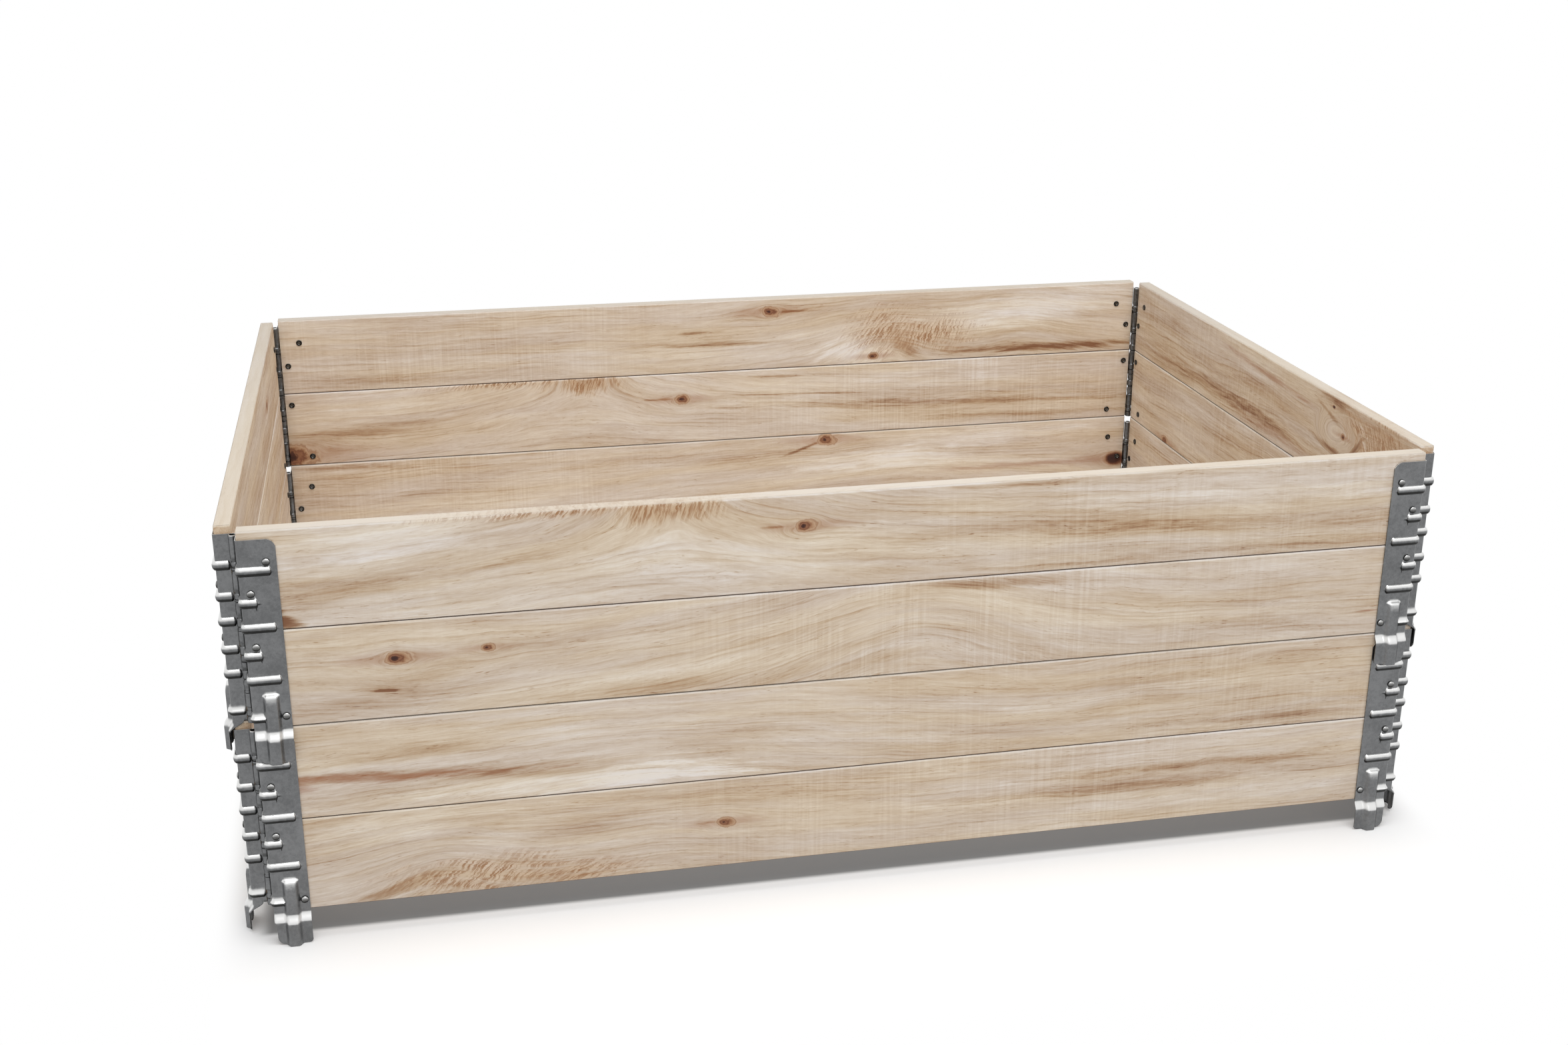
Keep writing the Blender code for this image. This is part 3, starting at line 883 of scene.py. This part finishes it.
def placePins():
    for collar in collars:
        for wall in ("front", "back"):
            for end in wallEnds[wall]:
                node = f"{collar}_{wall}_{end}_pin"
                low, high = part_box(node)
                radius = leaf["barrelRadius"] - leaf["sheet"] - hingePin["clearance"]
                chamfer = hingePin["chamfer"]
                rings = [
                    (radius - chamfer, low.z),
                    (radius, low.z + chamfer),
                    (radius, high.z - chamfer),
                    (radius - chamfer, high.z),
                ]
                pin = turnUp(f"{node}_round", rings, hingePin["sides"], steels["pin"])
                middle = (low + high) / 2
                pin.data.transform(Matrix.Translation((middle.x, middle.y, 0)))
                # The pin takes no painted highlight, only painted shade where it looks down
                markUpward(pin, lambda place: 0.0)
                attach(pin, f"{collar}_{wall}_wall")
                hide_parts(node)


placePins()

print("boards")
board = {
    "edgeRound": 0.0012,
    "edgeSteps": 4,
    "endRound": 0.0004,
    "endSteps": 2,
    "cuts": 99,
    "wave": 0.00005,  # how far the edges wander inwards
    "waveLength": 0.09,
    "waveApart": (40, 3, 7, 9),  # give each edge of each board its own part of the noise
    "creaseAngle": 40,
    "tolerance": 1e-5,
}


def makeBoard(node):
    # A planed board, its long edges taken off, with a slight wander along them
    low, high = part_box(node)
    size, middle = high - low, (low + high) / 2
    deselectAll()
    bpy.ops.mesh.primitive_cube_add(size=1, location=middle, scale=size)
    plank = settle(bpy.context.object, f"{node}_planed")
    run = 0 if size.x > size.y else 1

    def runsLong(edge):
        return abs(edge.verts[0].co[run] - edge.verts[1].co[run]) > size[run] / 2

    def isEnd(edge):
        away = [abs(vertex.co[run] - middle[run]) - size[run] / 2 for vertex in edge.verts]
        return max(map(abs, away)) < board["tolerance"]

    def shape():
        selectWhere("EDGE", runsLong)
        bpy.ops.mesh.bevel(offset=board["edgeRound"], segments=board["edgeSteps"], affect="EDGES")
        selectWhere("EDGE", isEnd)
        bpy.ops.mesh.bevel(offset=board["endRound"], segments=board["endSteps"], affect="EDGES")
        selectWhere("EDGE", runsLong)
        bpy.ops.mesh.subdivide(number_cuts=board["cuts"])

    edit(plank, shape)
    byHeight, bySide, byAxis, byPlace = board["waveApart"]
    for vertex in plank.data.vertices:
        here = vertex.co.copy()
        for axis in (1 - run, 2):
            side = 1 if here[axis] > middle[axis] else -1
            part = middle.z * byHeight + side * bySide, axis * byAxis + middle[1 - run] * byPlace
            wave = noise.noise(Vector((here[run] / board["waveLength"], *part)))
            vertex.co[axis] += side * board["wave"] * (wave * 0.5 - 0.5)
    smooth(plank, board["creaseAngle"])
    return plank


# Here a name that ends in Edge says where a soft step starts and where it ends
wood = {
    "tones": (  # from the palest sapwood to the darkest streaks
        (0.00, rgb(236, 228, 218)),
        (0.25, rgb(221, 207, 190)),
        (0.50, rgb(203, 183, 160)),
        (0.75, rgb(177, 146, 116)),
        (1.00, rgb(134, 92, 64)),
    ),
    "base": 0.40,
    "cool": (0.984, 0.996, 1.045, 1.0),  # the wood's colour wanders between these two tints
    "warm": (1.016, 1.000, 0.950, 1.0),
    "tintEdge": (0.34, 0.66),
    "stain": rgb(158, 104, 70),
    "stainShare": 0.75,
    "fray": 3.2,  # how ragged the edges of patches are
    "patchEdge": (1.5, 0.0),
    "clumpEdge": (0.46, 0.66),
    "dashEdge": (0.60, 0.76),
    "looseDashes": 0.2,  # share of the dashes outside the clumps
    "joint": rgb(76, 46, 26),
    "jointShare": 0.92,
    "jointLine": (0.0011, 0.0003),  # the dark line where two boards meet, above it
    "jointFoot": (0.0004, 0.0),  # and below it
    "edgeHighlight": (0.0027, 0.0011),  # painted highlight: the rounded upper edge is paler, as if it caught the light from above
    "edgeHighlightShare": 0.32,
    "rim": rgb(181, 171, 157),  # the upper side of a wall, from its edge inwards
    "rimLine": (0.0009, 0.0003),
    "rimShare": 0.76,
    "roughness": (0.58, 0.72),
    "gloss": 0.3,
    "bump": 0.00022,
    "seeds": 97,
    "seedStep": 1.37,  # metres between two boards in the noise
}
# Noise of each layer: cycles a metre along the board and across it, detail and roughness
layers = {
    "ripple": (6.0, 20.0, 3.0, 0.6),
    "ragged": (16.0, 150.0, 4.0, 0.7),
    "tint": (3.0, 36.0, 3.0, 0.6),
    "broad": (1.7, 24.0, 2.0, 0.5),
    "cloud": (8.0, 62.0, 3.0, 0.6),
    "streak": (12.0, 230.0, 3.0, 0.62),
    "fibre": (70.0, 1000.0, 2.0, 0.65),
    "clump": (24.0, 120.0, 2.0, 0.5),
    "dash": (120.0, 1250.0, 1.0, 0.5),
}
toneShares = {
    "broad": 0.60,
    "cloud": 0.54,
    "streak": 0.46,
    "fibre": 0.42,
    "dash": 0.32,
    "ring": 0.20,
    "sawn": -0.13,
}
bumpShares = {"fibre": 0.5, "streak": 0.2, "ring": -0.2, "dash": -0.5}
bentGrain = {
    "ripple": 0.014,  # how far the grain wanders by itself, in metres
    "crotchPoint": 2.2,  # how pointed a crotch is
    "burlRipple": 0.6,
    "burlEdge": (1.3, 0.85),
    "burlRings": 1.2,  # how close a burl's rings lie
    "knotStretch": 0.45,
    "knotLift": 1.5,  # how far the grain gives way to a knot
    "knotCore": 0.6,
}
yearRing = {
    "width": 0.0042,
    "tilt": 0.35,  # how they lie through the board
    "drift": (1.1, 20, 7.0),  # cycles a metre along and across, and rings of drift
    "strength": (3.17, 6.0, 9.0),  # steps from ring to ring, cycles a metre along and up
    "strengthEdge": (0.42, 0.70),
    "rise": (0.35, 0.95),
    "fall": (1.0, 0.95),
    "middle": 0.2,
}
sawMark = {
    "tooth": (300, 7, 10, 0.6),  # cycles a metre along, up and through, and roughness
    "clump": (17, 16, 20, 0.5),
    "toothEdge": (0.40, 0.66),
    "clumpEdge": (0.30, 0.66),
    "middle": 0.4,
    "everywhere": 0.15,
    "fade": (1.3, 0.3),  # from the sawn part's middle, in half lengths
}
curlyGrain = {
    "strand": (400, 50, 60),  # cycles a metre across the strands, along and through
    "strandEdge": (0.44, 0.60),
    "bend": 0.003,
    "ground": rgb(212, 184, 152),
    "groundShare": 0.5,
    "colour": rgb(158, 114, 76),
    "colourShare": 0.9,
}
knot = {
    "rings": (  # from the core outwards, up to reach radii
        (0.00, rgb(58, 34, 28)),
        (0.12, rgb(84, 50, 38)),
        (0.20, rgb(146, 100, 72)),
        (0.30, rgb(120, 76, 54)),
        (0.38, rgb(164, 122, 90)),
        (0.50, rgb(190, 158, 128)),
        (0.58, rgb(160, 120, 90)),
        (0.66, rgb(200, 176, 150)),
    ),
    "deadRings": (
        (0.00, rgb(54, 33, 29)),
        (0.36, rgb(70, 40, 32)),
        (0.48, rgb(112, 70, 50)),
        (0.62, rgb(168, 126, 94)),
    ),
    "reach": 1.6,
    "stretch": 0.66,
    "offset": 0.12,  # the core lies beside the middle, in radii
    "egg": 0.25,  # and one end is blunter
    "wobble": (75, 1.2, 0.5),  # cycles a metre, and its size on a live and on a dead knot
    "edge": (1.3, 0.8),
    "tail": (0.36, 1.7),  # a stain runs out along the grain
    "tailFray": 0.5,
    "tailEdge": (2.2, 0.4),
    "tailShare": 0.42,
}
plainBoard = {
    "lean": 0.012,  # how fast the year rings climb along the board
    "sweeps": (),  # the grain bends up: (along, height, half length, half height, lift)
    "crotches": (),  # and runs up sharply to where a branch stood: the same
    "burls": (),  # oval swirls: (along, height, half length, half height)
    "knots": (),  # (along, height, radius, whether it is dead)
    "patches": (),  # (along, height, half length, half height, slope, tone)
    "stains": (),  # the same, reddish
    "feathers": (),  # (along, height, half length, half height, lie of the strands)
    "sawn": (0.2, 0.35, 0.6),  # middle, half length and strength of the sawn part
    "tone": 0.0,
}
branchStub = {
    "crotches": ((-0.19, 0.110, 0.14, 0.085, 0.125),),
    "feathers": ((-0.30, 0.0960, 0.11, 0.006, 1.0), (-0.19, 0.090, 0.050, 0.012, 1.3)),
}
boardLooks = {
    "upper_front_top_board": {
        **branchStub,
        "knots": ((-0.061, 0.0650, 0.0070, False),),
        "patches": (
            (-0.46, 0.078, 0.13, 0.026, 0.10, -0.29), (-0.48, 0.036, 0.14, 0.012, 0.10, 0.22),
            (-0.088, 0.066, 0.022, 0.0016, 0.0, 0.4), (-0.19, 0.090, 0.032, 0.010, 0.0, 0.36),
            (0.22, 0.044, 0.16, 0.006, -0.03, 0.17), (0.42, 0.034, 0.20, 0.009, -0.02, 0.11),
            (0.45, 0.010, 0.16, 0.007, -0.02, 0.14), (-0.10, 0.040, 0.14, 0.024, 0.0, -0.20),
            (0.40, 0.072, 0.20, 0.016, 0.0, -0.22),
            (0.15, 0.092, 0.06, 0.002, -0.02, 0.30), (-0.542, 0.006, 0.012, 0.008, -0.5, 0.7),
        ),
        "sawn": (0.33, 0.32, 0.45), "tone": -0.005,
    },
    "upper_front_bottom_board": {
        "lean": 0.006,
        "sweeps": ((0.05, 0.05, 0.13, 0.10, 0.062), (-0.40, 0.02, 0.12, 0.06, -0.012)),
        "knots": ((-0.448, 0.0600, 0.0072, False), (-0.364, 0.0640, 0.0044, False)),
        "patches": (
            (-0.46, 0.028, 0.012, 0.0016, -0.05, 0.7), (-0.47, 0.018, 0.11, 0.016, 0.12, 0.22),
            (-0.36, 0.085, 0.14, 0.012, 0.0, -0.16), (-0.20, 0.006, 0.10, 0.012, 0.05, 0.20),
            (0.14, 0.089, 0.09, 0.007, -0.03, 0.34), (0.40, 0.022, 0.14, 0.012, 0.03, 0.20),
            (0.42, 0.060, 0.16, 0.020, 0.0, 0.09),
        ),
        "stains": ((0.534, 0.026, 0.014, 0.0013, 0.02, 1.0),),
        "sawn": (0.13, 0.30, 0.8), "tone": 0.02,
    },
    "lower_front_top_board": {
        "sweeps": ((-0.22, -0.02, 0.20, 0.10, 0.040), (0.20, 0.10, 0.10, 0.05, -0.020)),
        "patches": (
            (-0.27, 0.012, 0.15, 0.014, 0.0, -0.36), (-0.44, 0.058, 0.10, 0.006, 0.02, 0.22),
            (-0.13, 0.050, 0.05, 0.020, 0.1, 0.12), (0.45, 0.012, 0.15, 0.004, -0.01, 0.24),
            (-0.35, 0.026, 0.08, 0.005, -0.05, 0.28), (-0.19, 0.016, 0.060, 0.012, 0.0, -0.30),
            (-0.42, 0.036, 0.14, 0.006, -0.03, 0.30),
        ),
        "stains": ((-0.46, 0.036, 0.12, 0.0050, -0.04, 1.0), (-0.545, 0.036, 0.016, 0.008, 0.0, 0.9)),
        "sawn": (0.30, 0.35, 0.35), "tone": 0.045,
    },
    "lower_front_bottom_board": {
        "lean": 0.002,
        "sweeps": ((-0.42, 0.03, 0.07, 0.05, 0.035), (-0.20, 0.0, 0.12, 0.08, 0.025)),
        "knots": ((-0.141, 0.0490, 0.0060, False),),
        "patches": (
            (-0.47, 0.078, 0.09, 0.016, 0.05, -0.26), (-0.35, 0.060, 0.05, 0.018, 0.3, -0.16),
            (-0.46, 0.012, 0.045, 0.006, 0.3, 0.36), (-0.158, 0.050, 0.014, 0.0016, 0.0, 0.45),
            (0.38, 0.062, 0.20, 0.005, 0.0, 0.28), (0.42, 0.024, 0.16, 0.009, 0.0, -0.14),
            (0.30, 0.044, 0.20, 0.008, 0.0, 0.24),
        ),
        "feathers": ((-0.38, 0.018, 0.085, 0.020, 0.75), (-0.28, 0.012, 0.05, 0.012, 0.45)),
        "sawn": (0.10, 0.32, 0.5), "tone": 0.045,
    },
    "upper_back_top_board": {
        "tone": 0.03,
        "sweeps": ((0.22, 0.02, 0.07, 0.05, 0.045), (0.42, 0.02, 0.10, 0.10, 0.030)),
        "knots": ((0.061, 0.0790, 0.0080, False), (0.205, 0.010, 0.0050, False)),
        "patches": (
            (0.18, 0.018, 0.050, 0.020, 0.0, -0.45), (0.45, 0.070, 0.14, 0.026, 0.1, -0.34),
            (0.46, 0.011, 0.14, 0.006, 0.0, 0.55), (0.252, 0.018, 0.022, 0.012, -0.5, 0.45),
            (-0.02, 0.038, 0.10, 0.0035, -0.02, 0.40), (-0.05, 0.054, 0.035, 0.002, 0.0, 0.40),
            (-0.45, 0.012, 0.15, 0.010, 0.0, 0.22), (0.09, 0.078, 0.03, 0.0016, 0.0, 0.4),
        ),
        "feathers": ((0.222, 0.044, 0.048, 0.034, 0.9), (0.29, 0.038, 0.055, 0.022, 1.2)),
        "sawn": (-0.35, 0.25, 0.7),
    },
    "upper_back_bottom_board": {
        **branchStub, "tone": 0.03,
        "knots": ((-0.061, 0.0610, 0.0070, False), (-0.575, 0.012, 0.0170, False)),
        "patches": (
            (-0.46, 0.080, 0.11, 0.022, 0.10, -0.24), (-0.50, 0.040, 0.12, 0.010, 0.10, 0.24),
            (-0.088, 0.062, 0.026, 0.0016, 0.0, 0.5), (-0.19, 0.090, 0.032, 0.010, 0.0, 0.42),
            (0.30, 0.037, 0.26, 0.007, -0.03, 0.34), (0.45, 0.012, 0.15, 0.005, -0.02, 0.26),
            (0.08, 0.086, 0.05, 0.002, -0.02, 0.45), (0.10, 0.060, 0.10, 0.0014, -0.03, 0.45),
        ),
        "sawn": (0.33, 0.32, 0.8),
    },
    "lower_back_top_board": {
        "lean": -0.004, "tone": 0.04,
        "sweeps": ((0.22, -0.02, 0.20, 0.10, 0.040),),
        "knots": ((0.140, 0.0885, 0.0085, False), (0.566, 0.0340, 0.0100, True)),
        "patches": (
            (0.22, 0.055, 0.12, 0.014, 0.0, -0.34), (0.38, 0.080, 0.16, 0.012, 0.0, -0.24),
            (0.12, 0.082, 0.035, 0.0022, 0.35, 0.5), (-0.50, 0.090, 0.09, 0.004, 0.0, 0.35),
        ),
        "stains": ((0.44, 0.034, 0.12, 0.0045, 0.0, 0.7),),
        "sawn": (-0.35, 0.25, 0.5),
    },
    "upper_right_top_board": {
        "tone": 0.12,
        "burls": ((-0.206, 0.0585, 0.044, 0.022),),
        "knots": ((-0.222, 0.0578, 0.0036, False), (-0.196, 0.0850, 0.0020, True)),
        "patches": (
            (-0.206, 0.058, 0.038, 0.016, 0.0, -0.16), (-0.250, 0.052, 0.022, 0.006, -1.1, 0.65),
            (-0.200, 0.036, 0.045, 0.004, 0.1, 0.45), (-0.200, 0.093, 0.030, 0.006, 0.0, 0.45),
            (-0.262, 0.078, 0.012, 0.003, 0.5, -0.55), (-0.270, 0.062, 0.010, 0.003, 0.8, -0.50),
            (-0.320, 0.070, 0.060, 0.034, 0.0, 0.20), (-0.188, 0.075, 0.030, 0.003, 0.3, 0.35),
            (0.15, 0.020, 0.20, 0.010, 0.0, 0.24), (-0.04, 0.018, 0.10, 0.014, 0.0, 0.22),
        ),
        "stains": ((-0.03, 0.077, 0.11, 0.0040, 0.04, 0.8), (-0.06, 0.012, 0.10, 0.0060, 0.0, 0.4)),
        "feathers": ((-0.315, 0.066, 0.080, 0.036, 1.1), (-0.245, 0.078, 0.026, 0.016, 0.7)),
    },
    "upper_right_bottom_board": {
        "lean": 0.028, "tone": 0.12,
        "knots": ((0.253, 0.003, 0.0070, False),),
        "patches": ((0.0, 0.010, 0.20, 0.008, 0.0, 0.25),),
    },
    "upper_left_top_board": {"tone": 0.14, "knots": ((0.16, 0.050, 0.0070, False),)},
    "upper_left_bottom_board": {"tone": 0.14, "lean": 0.024},
    "lower_left_top_board": {"tone": 0.12, "lean": 0.016},
    "lower_left_bottom_board": {"tone": 0.10, "lean": 0.016},
    "lower_right_top_board": {"tone": 0.12},
    "lower_right_bottom_board": {"tone": 0.10},
}


class Plank:
    # The grain of one board. s runs along it, t up it and d from its inner face outwards.
    def __init__(self, node):
        self.look = {**plainBoard, **boardLooks.get(node, {})}
        low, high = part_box(node)
        size, middle = high - low, (low + high) / 2
        self.height = size.z
        self.isRim = node.endswith("top_board")
        self.material, self.graph = newMaterial(f"{node}_wood")
        x, y, z = self.graph.axes()
        if size.x > size.y:
            self.s, depth, place = x, y, middle.y
        else:
            self.s, depth, place = y, x, middle.x
        inner = abs(place) - min(size.x, size.y) / 2
        self.t = z - low.z
        self.d = depth * (1 if place > 0 else -1) - inner
        self.seed = sum(ord(letter) * (k + 1) for k, letter in enumerate(node)) % wood["seeds"]
        self.shifted = self.s + self.seed * wood["seedStep"]
        self.flow = self.t
        self.ripple = self.layer("ripple") - 0.5
        self.flow = self.bend()
        self.ragged = (self.layer("ragged") - 0.5) * wood["fray"]

    def noise(self, x, y, z, detail=2.0, roughness=0.5):
        return self.graph.noise(self.graph.vector(x, y, z), 1.0, detail, roughness)

    def layer(self, name):
        # Noise drawn out along the grain
        along, across, detail, roughness = layers[name]
        return self.noise(self.shifted * along, self.flow * across, self.d * across, detail, roughness)

    def oval(self, along, height, halfLength, halfHeight):
        # A point's place in an oval, in half lengths and half heights
        return (self.s - along) / halfLength, (self.t - height) / halfHeight

    def bend(self):
        # Height of the grain line through a point, bent by sweeps and round the knots
        graph, look = self.graph, self.look
        flow = self.t + self.ripple * bentGrain["ripple"]
        for *place, lift in look["sweeps"]:
            u, v = self.oval(*place)
            flow = flow - lift / (u * u + v * v + 1.0)
        for *place, lift in look["crotches"]:
            flow = flow - lift / (graph.hypot(*self.oval(*place)) * bentGrain["crotchPoint"] + 1.0)
        for along, height, halfLength, halfHeight in look["burls"]:
            away = graph.hypot(*self.oval(along, height, halfLength, halfHeight))
            away = away + self.ripple * bentGrain["burlRipple"]
            inside = graph.ramp(away, *bentGrain["burlEdge"])
            flow = flow + (away * (halfHeight * bentGrain["burlRings"]) + height - flow) * inside
        for along, height, radius, dead in look["knots"]:
            u, v = (self.s - along) * bentGrain["knotStretch"], self.t - height
            lift = v * (radius**2 * bentGrain["knotLift"])
            flow = flow - lift / (u * u + v * v + radius**2 * bentGrain["knotCore"])
        return flow

    def rings(self):
        # Year rings come to the surface as fine lines, soft on one side
        graph = self.graph
        along, across, rings = yearRing["drift"]
        drift = self.noise(self.shifted * along, self.flow * across, 0.0) * rings
        lie = self.d * yearRing["tilt"] + self.s * self.look["lean"]
        count = (self.flow + lie) / yearRing["width"] + drift
        share = count.maths("FRACT", count)
        whole = count.maths("FLOOR", count)
        step, along, up = yearRing["strength"]
        strength = self.noise(whole * step, self.shifted * along, self.t * up)
        line = graph.ramp(share, *yearRing["rise"]) * graph.ramp(share, *yearRing["fall"])
        return line * graph.ramp(strength, *yearRing["strengthEdge"])

    def near(self, along, height, halfLength, halfHeight, slope=0.0):
        # 1 inside a ragged oval, 0 outside
        u, v = self.oval(along, height, halfLength, halfHeight)
        v = v - u * (slope * halfLength / halfHeight)
        return self.graph.ramp(self.graph.hypot(u, v) + self.ragged, *wood["patchEdge"])

    def feather(self, colour, *place, lie):
        # Curly golden strands that lean by an angle
        graph = self.graph
        s, t = self.s - place[0], self.t - place[1]
        across = t * math.cos(lie) - s * math.sin(lie) + self.ragged * curlyGrain["bend"]
        along = s * math.cos(lie) + t * math.sin(lie)
        scales = curlyGrain["strand"]
        strand = self.noise(across * scales[0], along * scales[1], self.d * scales[2], 3.0, 0.6)
        strand = graph.ramp(strand, *curlyGrain["strandEdge"])
        where = self.near(*place)
        colour = graph.mix(where * curlyGrain["groundShare"], colour, curlyGrain["ground"])
        return graph.mix(where * strand * curlyGrain["colourShare"], colour, curlyGrain["colour"])

    def sawMarks(self):
        # Faint upright lines that the saw left
        graph = self.graph
        tooth, clump = [
            self.noise(self.shifted * along, self.t * up, self.d * through, 2.0, roughness)
            for along, up, through, roughness in (sawMark["tooth"], sawMark["clump"])
        ]
        middle, half, strength = self.look["sawn"]
        away = self.s - middle
        fade = [half * share for share in sawMark["fade"]]
        where = graph.ramp(away.maths("ABSOLUTE", away), *fade) * strength + sawMark["everywhere"]
        tooth = graph.ramp(tooth, *sawMark["toothEdge"]) - sawMark["middle"]
        return tooth * graph.ramp(clump, *sawMark["clumpEdge"]) * where

    def knotColour(self, colour, along, height, radius, dead):
        graph = self.graph
        u, v = (self.s - along) * knot["stretch"] + radius * knot["offset"], self.t - height
        scale, alive, still = knot["wobble"]
        wobble = self.noise(self.s * scale, self.t * scale, self.seed, 3.0, 0.6) - 0.5
        away = (graph.hypot(u, v) - u * knot["egg"]) / radius + wobble * (still if dead else alive)
        stops = knot["deadRings" if dead else "rings"]
        rings = graph.add("ShaderNodeValToRGB", {"stops": stops}, [away / knot["reach"]])
        along, across = knot["tail"]
        tail = graph.hypot(u * along, v * across) / radius + self.ragged * knot["tailFray"]
        tail = graph.ramp(tail, *knot["tailEdge"]) * knot["tailShare"]
        return graph.mix(graph.ramp(away, *knot["edge"]), graph.mix(tail, colour, wood["stain"]), rings)

    def build(self):
        graph, look = self.graph, self.look
        marks = {name: self.layer(name) - 0.5 for name in ("broad", "cloud", "streak", "fibre")}
        loose = wood["looseDashes"]
        clump = graph.ramp(self.layer("clump"), *wood["clumpEdge"]) * (1 - loose) + loose
        marks["dash"] = graph.ramp(self.layer("dash"), *wood["dashEdge"]) * clump
        marks["ring"] = self.rings() - yearRing["middle"]
        marks["sawn"] = self.sawMarks()
        tone = wood["base"] + sum(marks[name] * share for name, share in toneShares.items())
        for *place, change in look["patches"]:
            tone = tone + self.near(*place) * change
        down = self.height - self.t
        # Painted highlight: the wood is paler along the rounded upper edge
        tone = tone + look["tone"] - graph.ramp(down, *wood["edgeHighlight"]) * wood["edgeHighlightShare"]
        colour = graph.add("ShaderNodeValToRGB", {"stops": wood["tones"]}, [tone])
        tint = graph.ramp(self.layer("tint"), *wood["tintEdge"])
        colour = graph.mix(1.0, colour, graph.mix(tint, wood["cool"], wood["warm"]), "MULTIPLY")
        for *place, strength in look["stains"]:
            share = self.near(*place) * (strength * wood["stainShare"])
            colour = graph.mix(share, colour, wood["stain"])
        for *place, lie in look["feathers"]:
            colour = self.feather(colour, *place, lie=lie)
        for place in look["knots"]:
            colour = self.knotColour(colour, *place)
        joint = graph.ramp(self.t, *wood["jointLine"])
        if self.isRim:
            rim = graph.ramp(down, *wood["rimLine"]) * wood["rimShare"]
            colour = graph.mix(rim, colour, wood["rim"])
        else:
            joint = graph.largest(joint, graph.ramp(down, *wood["jointFoot"]))
        colour = graph.mix(joint * wood["jointShare"], colour, wood["joint"])
        height = sum(marks[name] * share for name, share in bumpShares.items())
        low, high = wood["roughness"]
        graph.finish(colour, low + (marks["streak"] + 0.5) * (high - low), height, wood["bump"])
        graph.feed(graph.shader.inputs["Specular IOR Level"], wood["gloss"])
        return self.material


def placeBoards():
    for collar in collars:
        for wall in wallEnds:
            for row in boardRows:
                node = f"{collar}_{wall}_{row}_board"
                plank = makeBoard(node)
                plank.data.materials.append(Plank(node).build())
                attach(plank, f"{collar}_{wall}_wall")
                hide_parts(node)


placeBoards()


print("done")
